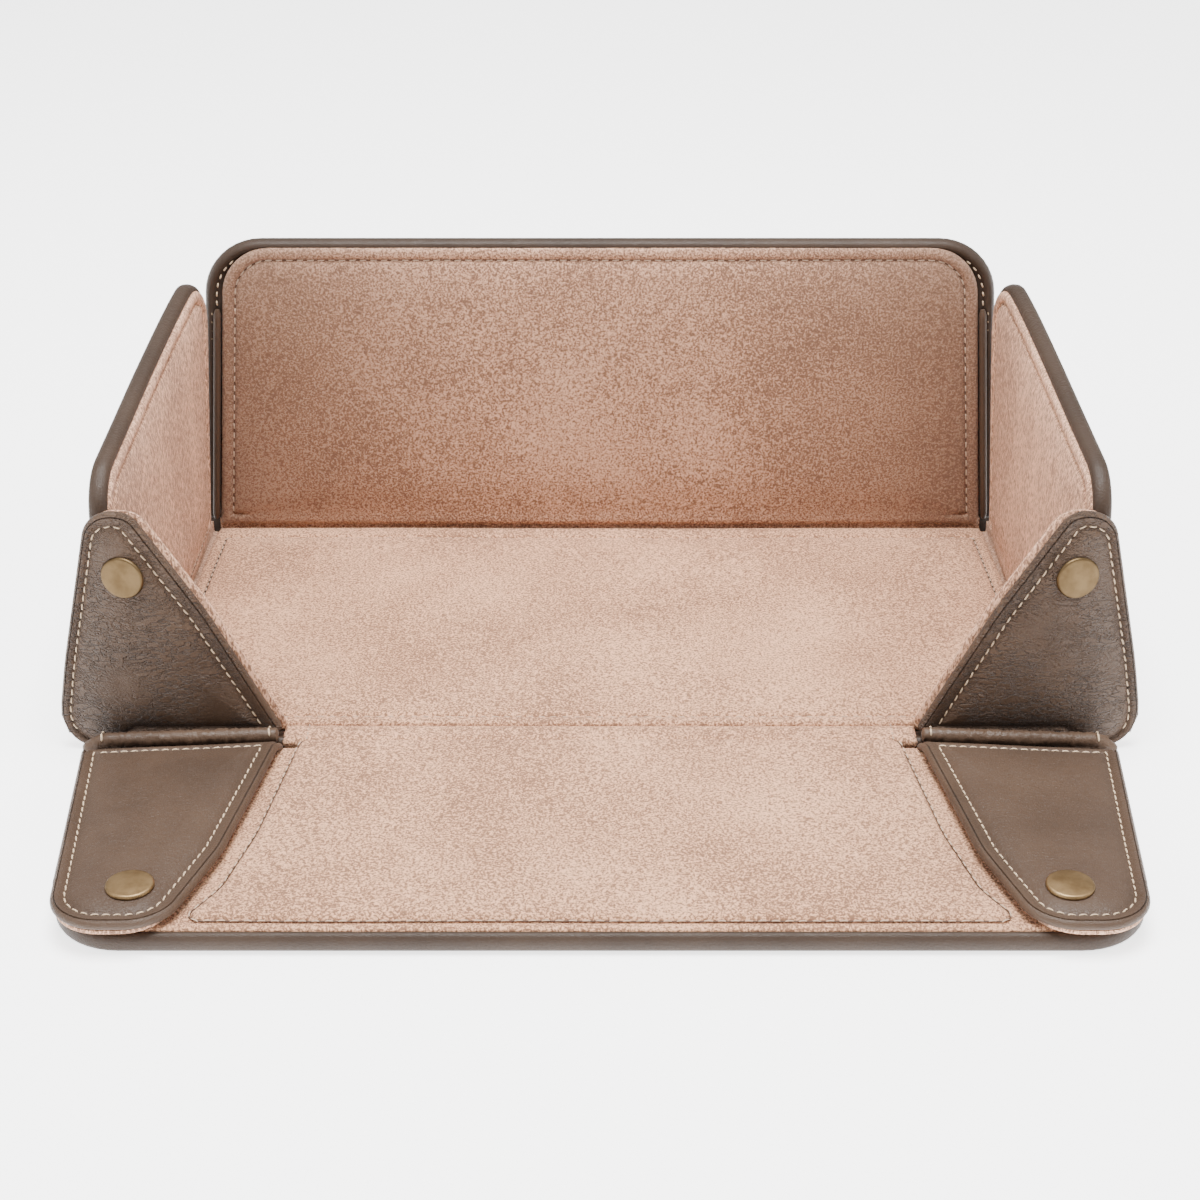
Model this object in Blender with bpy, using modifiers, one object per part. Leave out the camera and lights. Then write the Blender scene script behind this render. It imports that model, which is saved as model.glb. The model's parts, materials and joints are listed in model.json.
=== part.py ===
"""Folding valet tray: stiff panels in leather covers with suede linings.

The front wall lies open with its corner wings folded in, and the other walls stand.
Metres, +Z up. X runs along the front, +Y points to the back wall, and the origin is
the middle of the base's underside.
"""

import math

import bmesh
import bpy
from mathutils import Matrix, Vector

NAME = "folding_tray"

# Plan of the tray, taken at the hinge lines
CREASE_TO_BACK = 0.1253  # front wings' faces to the back wall's lining
BACK_HALF_WIDTH = 0.1191  # side walls' linings at the back
FRONT_SPREAD = 0.0041  # more than that at the front
FRONT_HALF_WIDTH = BACK_HALF_WIDTH + FRONT_SPREAD
HINGE_HEIGHT = 0.005  # every wall turns at the height of the floor lining

# Panel build, from the leather face inward
PANEL_THICKNESS = 0.005
COVER_SKIN = 0.0012
COVER_RIM_WIDTH = 0.0016
COVER_RIM_HEIGHT = 0.0043
BOARD_THICKNESS = 0.0016
BOARD_CLEARANCE = 0.0006
FIT_GAP = 0.0003

# Linings: a sewn border round a crowned field
LINING_EDGE_ROUND = 0.0006
LINING_EDGE_DROP = 0.0004
SEAM_INSET = 0.0038
SEAM_WIDTH = 0.0007
SEAM_DEPTH = 0.0005
CROWN_RUN = 0.009
CROWN_RISE = 0.0008

# Hinge channels
HINGE_ROOM = 0.0025  # from a hinge line to the panels it joins
FRONT_HINGE_ROOM = 0.0034
CHANNEL_HALF_HEIGHT = 0.0024
CHANNEL_PROUD = 0.0007  # of the floor lining
CHANNEL_END_ROUND = 0.0008

# Walls
BACK_HEIGHT = 0.0926
BACK_FOOT_OVERLAP = 0.0021  # back wall's edge past the side walls' linings
BACK_FOOT_HALF = BACK_HALF_WIDTH + BACK_FOOT_OVERLAP
BACK_TAPER = 0.0072  # each side, foot to head
BACK_HEAD_HALF = BACK_FOOT_HALF - BACK_TAPER
BACK_CORNER = 0.0175
SIDE_LEAN = math.radians(0.5)  # side walls lean in over the floor
SIDE_BACK_HEIGHT = 0.083
SIDE_FRONT_HEIGHT = 0.0705
SIDE_BACK_CORNER = 0.013
SIDE_FRONT_CORNER = 0.015
SIDE_BACK_GAP = 0.0038  # side wall to the back wall's lining
FRONT_LENGTH = 0.0836
FRONT_FOOT_OVERLAP = 0.0095  # front wall's edge past the side walls' linings
FRONT_FOOT_HALF = FRONT_HALF_WIDTH + FRONT_FOOT_OVERLAP
FRONT_TAPER = 0.006
FRONT_HEAD_HALF = FRONT_FOOT_HALF - FRONT_TAPER
FRONT_CORNER = 0.0175
PANEL_CORNER = 0.0015
BASE_CORNER = 0.003

# Corner wings
WING_THICKNESS = 0.0033
WING_SKIN = 0.001
WING_RIM_HEIGHT = 0.0028
WING_RIM_WIDTH = 0.0014

# Standing wings, measured from the side walls' linings at the front
WING_TO_HINGE = 0.0062  # standing wing's face to the front hinge line
WING_FOOT_LIFT = 0.0023  # standing wing over the hinge height
STAND_HEIGHT = 0.0645
STAND_FOOT_OUT = 0.0143
STAND_FOOT_IN = 0.0405
STAND_HEAD_OUT = 0.0056
STAND_HEAD_IN = 0.0057
STAND_FOOT_OUTER = FRONT_HALF_WIDTH + STAND_FOOT_OUT
STAND_FOOT_INNER = FRONT_HALF_WIDTH - STAND_FOOT_IN
STAND_HEAD_OUTER = FRONT_HALF_WIDTH + STAND_HEAD_OUT
STAND_HEAD_INNER = FRONT_HALF_WIDTH - STAND_HEAD_IN
STAND_FOOT_CORNER = 0.0125
STAND_OUTER_CORNER = 0.0063
STAND_INNER_CORNER = 0.0068
STAND_SIDE_CLEARANCE = 0.0006
STAND_CAP_IN = 0.0019
STAND_CAP_DROP = 0.0173  # below the wing's top
STAND_CAP_OUT = FRONT_HALF_WIDTH - STAND_CAP_IN
STAND_CAP_UP = STAND_HEIGHT - STAND_CAP_DROP

# Lying wings, measured from the front wall's edges
LAID_LIFT = 0.0008  # lying wing over the front lining
LAID_START = 0.0075
LAID_EDGE_INSET = 0.0003
LAID_FOOT_WIDTH = 0.0509
LAID_WAIST_WIDTH = 0.0445
LAID_HEAD_WIDTH = 0.0219
LAID_END_GAP = 0.0004
LAID_WAIST_TO_END = 0.0252
LAID_LENGTH = FRONT_LENGTH - LAID_END_GAP
LAID_FOOT_OUTER = FRONT_FOOT_HALF - LAID_EDGE_INSET
LAID_FOOT_INNER = LAID_FOOT_OUTER - LAID_FOOT_WIDTH
LAID_WAIST = LAID_FOOT_OUTER - LAID_WAIST_WIDTH
LAID_WAIST_AT = LAID_LENGTH - LAID_WAIST_TO_END
LAID_HEAD_OUTER = FRONT_HEAD_HALF - LAID_EDGE_INSET
LAID_HEAD_INNER = LAID_HEAD_OUTER - LAID_HEAD_WIDTH
LAID_OUTER_CORNER = 0.0125
LAID_INNER_CORNER = 0.0145
LAID_WAIST_CORNER = 0.030
LAID_CAP_IN = 0.0172  # from the wing's outer edge
LAID_CAP_TO_END = 0.0122
LAID_CAP_OUT = LAID_HEAD_OUTER - LAID_CAP_IN
LAID_CAP_ALONG = LAID_LENGTH - LAID_CAP_TO_END

# Snaps
CAP_RADIUS = 0.0058
CAP_HEIGHT = 0.0015
CAP_EDGE = 0.0006
SNAP_POST_RADIUS = 0.0016
SOCKET_RADIUS = 0.0046
SOCKET_HEIGHT = 0.0016
POST_SHORT = 0.0002  # post's end inside its socket
STUD_RADIUS = 0.0038
STUD_NUB = 0.0015
STUD_NUB_RISE = 0.0010
SIDE_STUD_IN = 0.0078  # from the side wall's front edge

# Rolls of leather
BACK_ROLL_RADIUS = 0.0014
BACK_ROLL_HEIGHT = 0.070
BACK_ROLL_INSET = 0.0002
FRONT_ROLL_OUT = 0.0015  # past the side walls' linings, short of the folded wings

SMOOTH_ANGLE = math.radians(30.0)
BEVEL_ANGLE = math.radians(60.0)
MERGE_DISTANCE = 0.00001
ROUND_KEPT_SHARE = 0.25  # of a corner's radius, where a line is drawn in past it
ARC_STEPS = 6
ROUND_STEPS = 24
ROLL_STEPS = 16
OVERRUN = 0.001

BACK_Y = CREASE_TO_BACK / 2
WING_Y = -CREASE_TO_BACK / 2
FRONT_Y = WING_Y - WING_TO_HINGE
SIDE_NAMES = {1: "right", -1: "left"}

COLOURS = {
    "leather": ((0.19, 0.135, 0.1), 0.52, 0.0),
    "suede": ((0.57, 0.39, 0.3), 0.95, 0.0),
    "board": ((0.45, 0.38, 0.29), 0.85, 0.0),
    "brass": ((0.4, 0.31, 0.19), 0.32, 1.0),
}


def clear_scene():
    for thing in list(bpy.data.objects):
        bpy.data.objects.remove(thing, do_unlink=True)


def new_collection(name):
    group = bpy.data.collections.new(name)
    bpy.context.scene.collection.children.link(group)
    return group


def material(node, look):
    colour, roughness, metallic = COLOURS[look]
    made = bpy.data.materials.new(node + "_" + look)
    made.use_nodes = True
    shader = made.node_tree.nodes["Principled BSDF"]
    shader.inputs["Base Color"].default_value = (*colour, 1.0)
    shader.inputs["Roughness"].default_value = roughness
    shader.inputs["Metallic"].default_value = metallic
    return made


def hinge_frame(name, origin, up, inward, group):
    """An empty whose Y runs up its panel and whose Z points to the panel's lining."""
    along = up.cross(inward)
    turn = Matrix((along, up, inward)).transposed().to_4x4()
    empty = bpy.data.objects.new(name, None)
    group.objects.link(empty)
    empty.matrix_world = Matrix.Translation(origin) @ turn
    return empty


def drawn_in(corners, inset):
    """Corners given as (place, radius), with every side moved in by a steady distance."""
    places = [Vector(place) for place, _ in corners]
    radii = [radius for _, radius in corners]
    area = sum(a.cross(b) for a, b in zip(places, places[1:] + places[:1]))
    if area < 0:
        places.reverse()
        radii.reverse()
    moved = []
    for i, (place, radius) in enumerate(zip(places, radii)):
        before = (place - places[i - 1]).normalized()
        after = (places[(i + 1) % len(places)] - place).normalized()
        normal = Vector((-before.y - after.y, before.x + after.x)).normalized()
        lean = normal.dot(Vector((-before.y, before.x)))
        left = max(radius - inset, radius * ROUND_KEPT_SHARE)
        moved.append((place + normal * inset / lean, left))
    return moved


def rounded(corners):
    """The points of an outline whose corners are turned into arcs."""
    points = []
    count = len(corners)
    for i, (place, radius) in enumerate(corners):
        to_last = (corners[i - 1][0] - place).normalized()
        to_next = (corners[(i + 1) % count][0] - place).normalized()
        half = to_last.angle(to_next) / 2
        reach = radius / math.tan(half)
        centre = place + (to_last + to_next).normalized() * radius / math.sin(half)
        first = place + to_last * reach - centre
        turn = math.pi - 2 * half
        for step in range(ARC_STEPS + 1):
            angle = turn * step / ARC_STEPS
            spun = Vector((
                first.x * math.cos(angle) - first.y * math.sin(angle),
                first.x * math.sin(angle) + first.y * math.cos(angle),
            ))
            points.append(centre + spun)
    return points


def layered(corners, layers):
    """A closed solid through copies of one outline, each (drawn in by, height)."""
    work = bmesh.new()
    rings = []
    for inset, height in layers:
        outline = rounded(drawn_in(corners, inset))
        rings.append([work.verts.new((p.x, p.y, height)) for p in outline])
    for low, high in zip(rings, rings[1:]):
        for i in range(len(low)):
            work.faces.new((low[i - 1], low[i], high[i], high[i - 1]))
    work.faces.new(rings[0][::-1])
    work.faces.new(rings[-1])
    bmesh.ops.recalc_face_normals(work, faces=work.faces[:])
    return work


def put(name, work, look, parent, group):
    mesh = bpy.data.meshes.new(name)
    work.to_mesh(mesh)
    work.free()
    mesh.shade_smooth()
    mesh.set_sharp_from_angle(angle=SMOOTH_ANGLE)
    piece = bpy.data.objects.new(name, mesh)
    piece.data.materials.append(material(name, look))
    group.objects.link(piece)
    piece.parent = parent
    return piece


def cover(name, corners, rim_width, skin, rim_height, parent, group):
    """A leather cover: a skin with its edge turned up round the lining."""
    turn = rim_width / 3
    work = layered(corners, [
        (turn, 0),
        (0, turn),
        (0, rim_height - turn),
        (turn, rim_height),
        (rim_width, rim_height),
        (rim_width, skin),
    ])
    return put(name, work, "leather", parent, group)


def lining(name, corners, inset, low, high, parent, group):
    """A suede lining: rounded edge, sewn border, crowned field."""
    seam = inset + SEAM_INSET
    field = seam + 2 * SEAM_WIDTH
    work = layered(corners, [
        (inset, low),
        (inset, high - LINING_EDGE_DROP),
        (inset + LINING_EDGE_ROUND, high),
        (seam, high),
        (seam + SEAM_WIDTH, high - SEAM_DEPTH),
        (field, high),
        (field + CROWN_RUN, high + CROWN_RISE),
    ])
    return put(name, work, "suede", parent, group)


def panel(prefix, corners, parent, group):
    """Cover, stiffener board and lining of one wall or of the floor."""
    cover(
        prefix + "_cover", corners, COVER_RIM_WIDTH, COVER_SKIN, COVER_RIM_HEIGHT, parent, group
    )
    inset = COVER_RIM_WIDTH + FIT_GAP
    low = COVER_SKIN + FIT_GAP
    edge = inset + BOARD_CLEARANCE
    stiff = layered(corners, [(edge, low), (edge, low + BOARD_THICKNESS)])
    put(prefix + "_board", stiff, "board", parent, group)
    low += BOARD_THICKNESS + FIT_GAP
    lined = lining(prefix + "_lining", corners, inset, low, PANEL_THICKNESS, parent, group)
    return lined, low


def turned(name, profile, closed, place, look, parent, group):
    """A profile of (radius, height) spun about the local Z axis at a place."""
    mesh = bpy.data.meshes.new(name)
    ends = [(i, i + 1) for i in range(len(profile) - 1)]
    if closed:
        ends.append((len(profile) - 1, 0))
    mesh.from_pydata([(radius, 0, height) for radius, height in profile], ends, [])
    piece = bpy.data.objects.new(name, mesh)
    group.objects.link(piece)
    piece.parent = parent
    piece.location = place
    if look:
        mesh.materials.append(material(name, look))
    spin = piece.modifiers.new("spin", "SCREW")
    spin.steps = ROUND_STEPS
    spin.render_steps = ROUND_STEPS
    spin.use_merge_vertices = True
    spin.merge_threshold = MERGE_DISTANCE
    spin.use_smooth_shade = True
    return piece


def drill(piece, place, radius, low, high, cutters):
    """Cut a round hole along the local Z axis of a panel."""
    profile = [
        (0, high + OVERRUN),
        (radius, high + OVERRUN),
        (radius, low - OVERRUN),
        (0, low - OVERRUN),
    ]
    name = "cut_" + piece.name
    cutter = turned(name, profile, False, (*place, 0), None, piece.parent, cutters)
    cutter.hide_render = True
    cutter.display_type = "WIRE"
    hole = piece.modifiers.new("snap_hole", "BOOLEAN")
    hole.operation = "DIFFERENCE"
    hole.object = cutter
    return cutter


def wing(prefix, corners, snap, parent, group, cutters):
    """A corner wing: leather cover, suede lining, snap cap and socket."""
    shell = cover(
        prefix + "_cover", corners, WING_RIM_WIDTH, WING_SKIN, WING_RIM_HEIGHT, parent, group
    )
    low = WING_SKIN + FIT_GAP
    inset = WING_RIM_WIDTH + FIT_GAP
    soft = layered(corners, [
        (inset, low),
        (inset, WING_THICKNESS - LINING_EDGE_DROP),
        (inset + LINING_EDGE_ROUND, WING_THICKNESS),
    ])
    lined = put(prefix + "_lining", soft, "suede", parent, group)
    drill(shell, snap, SNAP_POST_RADIUS + FIT_GAP, 0, WING_SKIN, cutters)
    drill(lined, snap, SOCKET_RADIUS + FIT_GAP, low, WING_THICKNESS, cutters)
    foot = low + SOCKET_HEIGHT - POST_SHORT
    cap = [
        (0, foot),
        (SNAP_POST_RADIUS, foot),
        (SNAP_POST_RADIUS, -FIT_GAP),
        (CAP_RADIUS - CAP_EDGE / 2, -FIT_GAP),
        (CAP_RADIUS, -FIT_GAP - CAP_EDGE / 2),
        (CAP_RADIUS - CAP_EDGE, -CAP_HEIGHT + CAP_EDGE / 2),
        (CAP_RADIUS / 2, -CAP_HEIGHT + CAP_EDGE / 6),
        (0, -CAP_HEIGHT),
    ]
    turned(prefix + "_snap_cap", cap, False, (*snap, 0), "brass", parent, group)
    bore = SNAP_POST_RADIUS + FIT_GAP
    ring = [
        (SOCKET_RADIUS, low + SOCKET_HEIGHT),
        (SOCKET_RADIUS, low),
        (bore, low),
        (bore, low + SOCKET_HEIGHT),
    ]
    turned(prefix + "_snap_socket", ring, True, (*snap, 0), "brass", parent, group)


def stud(name, place, lined, low, parent, group, cutters):
    """A snap stud set into a lining."""
    drill(lined, place, STUD_RADIUS + FIT_GAP, low, PANEL_THICKNESS, cutters)
    top = PANEL_THICKNESS - FIT_GAP
    profile = [
        (0, top + STUD_NUB_RISE),
        (STUD_NUB, top + STUD_NUB_RISE),
        (STUD_NUB, top),
        (STUD_RADIUS, top),
        (STUD_RADIUS, low),
        (0, low),
    ]
    turned(name, profile, False, (*place, 0), "brass", parent, group)


def roll(name, start, end, half_width, half_height, look, parent, group):
    """A rolled strip between two points, wider than high if need be."""
    run = end - start
    work = bmesh.new()
    bmesh.ops.create_cone(
        work, cap_ends=True, segments=ROLL_STEPS, radius1=1, radius2=1, depth=run.length
    )
    bmesh.ops.scale(work, vec=(half_width, half_height, 1), verts=work.verts[:])
    piece = put(name, work, look, None, group)
    side = run.normalized()
    across = Vector((0, 0, 1)).cross(side)
    if across.length < half_height:
        across = Vector((1, 0, 0))
    across.normalize()
    turn = Matrix((across, side.cross(across), side)).transposed().to_4x4()
    piece.matrix_world = Matrix.Translation((start + end) / 2) @ turn
    ends = piece.modifiers.new("rounded_ends", "BEVEL")
    ends.width = min(CHANNEL_END_ROUND, half_height / 2)
    ends.segments = 2
    ends.limit_method = "ANGLE"
    ends.angle_limit = BEVEL_ANGLE
    if parent:
        piece.parent = parent
        piece.matrix_parent_inverse = parent.matrix_world.inverted()
    return piece


def side_line(side):
    """Back and front ends of a side wall's hinge line."""
    back = Vector((side * BACK_HALF_WIDTH, BACK_Y, HINGE_HEIGHT))
    front = Vector((side * FRONT_HALF_WIDTH, WING_Y, HINGE_HEIGHT))
    return back, front


def build_base(group):
    frame = hinge_frame(
        "base_frame", Vector((0, 0, 0)), Vector((0, 1, 0)), Vector((0, 0, 1)), group
    )
    back = BACK_Y - HINGE_ROOM
    front = FRONT_Y + FRONT_HINGE_ROOM
    spread = (FRONT_HALF_WIDTH - BACK_HALF_WIDTH) / CREASE_TO_BACK

    def half_at(y):
        return BACK_HALF_WIDTH + spread * (BACK_Y - y) - HINGE_ROOM

    corners = [
        ((-half_at(front), front), BASE_CORNER),
        ((half_at(front), front), BASE_CORNER),
        ((half_at(back), back), BASE_CORNER),
        ((-half_at(back), back), BASE_CORNER),
    ]
    panel("base", corners, frame, group)
    level = HINGE_HEIGHT + CHANNEL_PROUD - CHANNEL_HALF_HEIGHT
    wide = FRONT_HINGE_ROOM - FIT_GAP
    inner = STAND_FOOT_INNER
    roll(
        "front_hinge_channel",
        Vector((-inner, FRONT_Y, level)),
        Vector((inner, FRONT_Y, level)),
        wide, CHANNEL_HALF_HEIGHT, "suede", frame, group,
    )
    thin = HINGE_ROOM - FIT_GAP
    end = BACK_HALF_WIDTH - HINGE_ROOM
    roll(
        "back_hinge_channel",
        Vector((-end, BACK_Y, HINGE_HEIGHT)),
        Vector((end, BACK_Y, HINGE_HEIGHT)),
        thin, thin, "suede", frame, group,
    )
    for side, word in SIDE_NAMES.items():
        outer = Vector((side * (FRONT_HALF_WIDTH + FRONT_ROLL_OUT), FRONT_Y, HINGE_HEIGHT))
        start = Vector((side * (inner + FIT_GAP), FRONT_Y, HINGE_HEIGHT))
        roll(
            "front_hinge_roll_" + word, start, outer, wide, wide, "leather", frame, group
        )
        line_back, line_front = side_line(side)
        run = (line_front - line_back).normalized()
        first = line_back + run * (thin + HINGE_ROOM)
        last = line_front - run * (WING_THICKNESS + STAND_SIDE_CLEARANCE)
        roll(word + "_hinge_channel", first, last, thin, thin, "suede", frame, group)


def build_back(group):
    origin = Vector((0, BACK_Y + PANEL_THICKNESS, HINGE_HEIGHT))
    frame = hinge_frame(
        "back_hinge", origin, Vector((0, 0, 1)), Vector((0, -1, 0)), group
    )
    corners = [
        ((-BACK_FOOT_HALF, HINGE_ROOM), PANEL_CORNER),
        ((BACK_FOOT_HALF, HINGE_ROOM), PANEL_CORNER),
        ((BACK_HEAD_HALF, BACK_HEIGHT), BACK_CORNER),
        ((-BACK_HEAD_HALF, BACK_HEIGHT), BACK_CORNER),
    ]
    panel("back", corners, frame, group)
    taper = (BACK_FOOT_HALF - BACK_HEAD_HALF) / (BACK_HEIGHT - HINGE_ROOM)
    near = BACK_Y + PANEL_THICKNESS - COVER_RIM_HEIGHT - FIT_GAP - BACK_ROLL_RADIUS
    foot = HINGE_HEIGHT + HINGE_ROOM
    for side, word in SIDE_NAMES.items():
        low_half = BACK_FOOT_HALF - BACK_ROLL_RADIUS + BACK_ROLL_INSET
        high_half = low_half - taper * (BACK_ROLL_HEIGHT - HINGE_ROOM)
        roll(
            "back_corner_roll_" + word,
            Vector((side * low_half, near, foot)),
            Vector((side * high_half, near, HINGE_HEIGHT + BACK_ROLL_HEIGHT)),
            BACK_ROLL_RADIUS, BACK_ROLL_RADIUS, "leather", frame, group,
        )


def side_directions(side):
    """Along the hinge to the front, up the wall, and to its lining."""
    back, front = side_line(side)
    run = (front - back).normalized()
    level = Vector((0, 0, 1)).cross(run) * -side
    lean_up = Vector((0, 0, math.cos(SIDE_LEAN))) + level * math.sin(SIDE_LEAN)
    inward = level * math.cos(SIDE_LEAN) - Vector((0, 0, math.sin(SIDE_LEAN)))
    return run, lean_up, inward


def build_side(side, group, cutters):
    word = SIDE_NAMES[side]
    back, front = side_line(side)
    run, lean_up, inward = side_directions(side)
    origin = (back + front) / 2 - inward * PANEL_THICKNESS
    frame = hinge_frame(word + "_hinge", origin, lean_up, inward, group)
    half = (front - back).length / 2
    rear = SIDE_BACK_GAP - half
    fore = half - WING_THICKNESS - STAND_SIDE_CLEARANCE
    corners = [
        ((side * rear, HINGE_ROOM), PANEL_CORNER),
        ((side * fore, HINGE_ROOM), PANEL_CORNER),
        ((side * fore, SIDE_FRONT_HEIGHT), SIDE_FRONT_CORNER),
        ((side * rear, SIDE_BACK_HEIGHT), SIDE_BACK_CORNER),
    ]
    lined, low = panel(word, corners, frame, group)
    place = (side * (fore - SIDE_STUD_IN), STAND_CAP_UP)
    stud(word + "_stud", place, lined, low, frame, group, cutters)


def build_front(group, cutters):
    frame = hinge_frame(
        "front_hinge", Vector((0, FRONT_Y, 0)), Vector((0, -1, 0)), Vector((0, 0, 1)), group
    )
    corners = [
        ((-FRONT_FOOT_HALF, FRONT_HINGE_ROOM), PANEL_CORNER),
        ((FRONT_FOOT_HALF, FRONT_HINGE_ROOM), PANEL_CORNER),
        ((FRONT_HEAD_HALF, FRONT_LENGTH), FRONT_CORNER),
        ((-FRONT_HEAD_HALF, FRONT_LENGTH), FRONT_CORNER),
    ]
    lined, low = panel("front", corners, frame, group)
    for side, word in SIDE_NAMES.items():
        place = (-side * LAID_CAP_OUT, LAID_CAP_ALONG)
        stud("front_stud_" + word, place, lined, low, frame, group, cutters)


def build_standing_wing(side, group, cutters):
    origin = Vector((0, WING_Y, HINGE_HEIGHT))
    frame = hinge_frame(
        SIDE_NAMES[side] + "_wing_hinge", origin, Vector((0, 0, 1)), Vector((0, 1, 0)), group
    )
    corners = [
        ((-side * STAND_FOOT_INNER, WING_FOOT_LIFT), PANEL_CORNER),
        ((-side * STAND_FOOT_OUTER, WING_FOOT_LIFT), STAND_FOOT_CORNER),
        ((-side * STAND_HEAD_OUTER, STAND_HEIGHT), STAND_OUTER_CORNER),
        ((-side * STAND_HEAD_INNER, STAND_HEIGHT), STAND_INNER_CORNER),
    ]
    snap = (-side * STAND_CAP_OUT, STAND_CAP_UP)
    wing(SIDE_NAMES[side] + "_wing", corners, snap, frame, group, cutters)


def build_lying_wing(side, group, cutters):
    top = PANEL_THICKNESS + LAID_LIFT + WING_THICKNESS
    frame = hinge_frame(
        "front_wing_hinge_" + SIDE_NAMES[side],
        Vector((0, FRONT_Y, top)),
        Vector((0, -1, 0)),
        Vector((0, 0, -1)),
        group,
    )
    corners = [
        ((side * LAID_FOOT_INNER, LAID_START), PANEL_CORNER),
        ((side * LAID_FOOT_OUTER, LAID_START), PANEL_CORNER),
        ((side * LAID_HEAD_OUTER, LAID_LENGTH), LAID_OUTER_CORNER),
        ((side * LAID_HEAD_INNER, LAID_LENGTH), LAID_INNER_CORNER),
        ((side * LAID_WAIST, LAID_WAIST_AT), LAID_WAIST_CORNER),
    ]
    snap = (side * LAID_CAP_OUT, LAID_CAP_ALONG)
    wing("front_wing_" + SIDE_NAMES[side], corners, snap, frame, group, cutters)


def main():
    clear_scene()
    group = new_collection(NAME)
    cutters = new_collection(NAME + "_cutters")
    build_base(group)
    build_back(group)
    build_front(group, cutters)
    for side in SIDE_NAMES:
        build_side(side, group, cutters)
        build_standing_wing(side, group, cutters)
        build_lying_wing(side, group, cutters)
    bpy.context.view_layer.update()


main()
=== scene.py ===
# %% [markdown]
# # A folding valet tray in leather and suede
# The tray is a set of stiff panels. Each panel is a leather cover turned up at its edge,
# with a soft suede lining laid inside, and every panel folds on a strip of the same hides.
# The moving parts come from a measured frame, so this lesson only dresses them: nothing
# here changes a size, and each new piece but the hinge strips and skins is told which part carries
# it.

# %% Load the frame
import json
import math
import random

import bmesh
import bpy
from mathutils import Matrix, Vector, noise


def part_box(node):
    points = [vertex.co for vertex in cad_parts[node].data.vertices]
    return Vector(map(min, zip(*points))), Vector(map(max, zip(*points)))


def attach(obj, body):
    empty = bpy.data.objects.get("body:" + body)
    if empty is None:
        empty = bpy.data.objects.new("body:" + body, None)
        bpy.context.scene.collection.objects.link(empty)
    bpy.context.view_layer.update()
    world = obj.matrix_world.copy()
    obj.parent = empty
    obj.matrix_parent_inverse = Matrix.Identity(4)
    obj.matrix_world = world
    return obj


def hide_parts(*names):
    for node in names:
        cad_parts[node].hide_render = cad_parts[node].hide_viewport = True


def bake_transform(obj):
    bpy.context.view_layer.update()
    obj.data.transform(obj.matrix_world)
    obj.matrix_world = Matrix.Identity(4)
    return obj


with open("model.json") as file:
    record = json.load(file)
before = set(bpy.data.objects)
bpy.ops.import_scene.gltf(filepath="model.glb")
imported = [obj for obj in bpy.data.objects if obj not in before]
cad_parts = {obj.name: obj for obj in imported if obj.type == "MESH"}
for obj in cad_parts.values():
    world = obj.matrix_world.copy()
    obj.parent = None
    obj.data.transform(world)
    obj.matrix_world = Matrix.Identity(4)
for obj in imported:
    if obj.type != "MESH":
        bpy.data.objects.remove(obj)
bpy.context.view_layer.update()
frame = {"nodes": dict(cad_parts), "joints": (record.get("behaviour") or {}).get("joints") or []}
joints = {joint["name"]: joint for joint in frame["joints"]}

# %% [markdown]
# ## The camera
# The camera comes first, because every later judgement is made through it. The view looks
# down into the tray from in front. Guessing a camera by eye costs many renders, so its
# height, distance and pitch were fitted to a dozen landmarks, such as the snap caps and
# the ends of the folds. A 69 mm lens gives the mild perspective of a product shot.

# %% Camera
LENS = 69.0
SENSOR = 36.0
CAMERA_PLACE = (0.0, -0.5828, 0.3157)
CAMERA_PITCH = math.radians(27.52)

camera_data = bpy.data.cameras.new("camera")
camera_data.lens = LENS
camera_data.sensor_width = SENSOR
camera_data.clip_start = 0.01
camera = bpy.data.objects.new("camera", camera_data)
bpy.context.scene.collection.objects.link(camera)
camera.location = CAMERA_PLACE
camera.rotation_euler = (math.pi / 2 - CAMERA_PITCH, 0, 0)
bpy.context.scene.camera = camera
print("camera pitch", round(math.degrees(CAMERA_PITCH), 1), "degrees")

# %% [markdown]
# ## The room
# A white sweep and large soft lamps leave a shadow only where the tray meets the table.
# A wide lamp above and in front keeps the nap of the suede readable, and a weaker one on
# each side draws the thin highlights along the rolled leather edges.

# %% Floor and lamps
FLOOR_SIZE = 8.0
FLOOR_DROP = 0.0004  # under the tray, so that the two faces never fight
PAPER_GLOW = 2.6
WORLD_LIGHT = 0.70


def area_lamp(name, place, target, size, power):
    data = bpy.data.lights.new(name, "AREA")
    data.shape = "SQUARE"
    data.size = size
    data.energy = power
    lamp = bpy.data.objects.new(name, data)
    bpy.context.scene.collection.objects.link(lamp)
    lamp.location = place
    aim = Vector(target) - Vector(place)
    lamp.rotation_euler = aim.to_track_quat("-Z", "Y").to_euler()


bpy.ops.mesh.primitive_plane_add(size=FLOOR_SIZE, location=(0, 0, -FLOOR_DROP))
floor = bpy.context.object
floor.name = "floor"
paper = bpy.data.materials.new("white_paper")
paper.use_nodes = True
paper_inputs = paper.node_tree.nodes["Principled BSDF"].inputs
for socket_name, value in {
    "Base Color": (0.95, 0.95, 0.95, 1), "Roughness": 0.95, "Specular IOR Level": 0.1,
    "Emission Color": (1, 1, 1, 1), "Emission Strength": PAPER_GLOW,
}.items():
    paper_inputs[socket_name].default_value = value
floor.data.materials.append(paper)

world = bpy.data.worlds.new("white_room")
world.use_nodes = True
backdrop = world.node_tree.nodes["Background"].inputs
backdrop["Color"].default_value = (1, 1, 1, 1)
backdrop["Strength"].default_value = WORLD_LIGHT
bpy.context.scene.world = world

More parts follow.
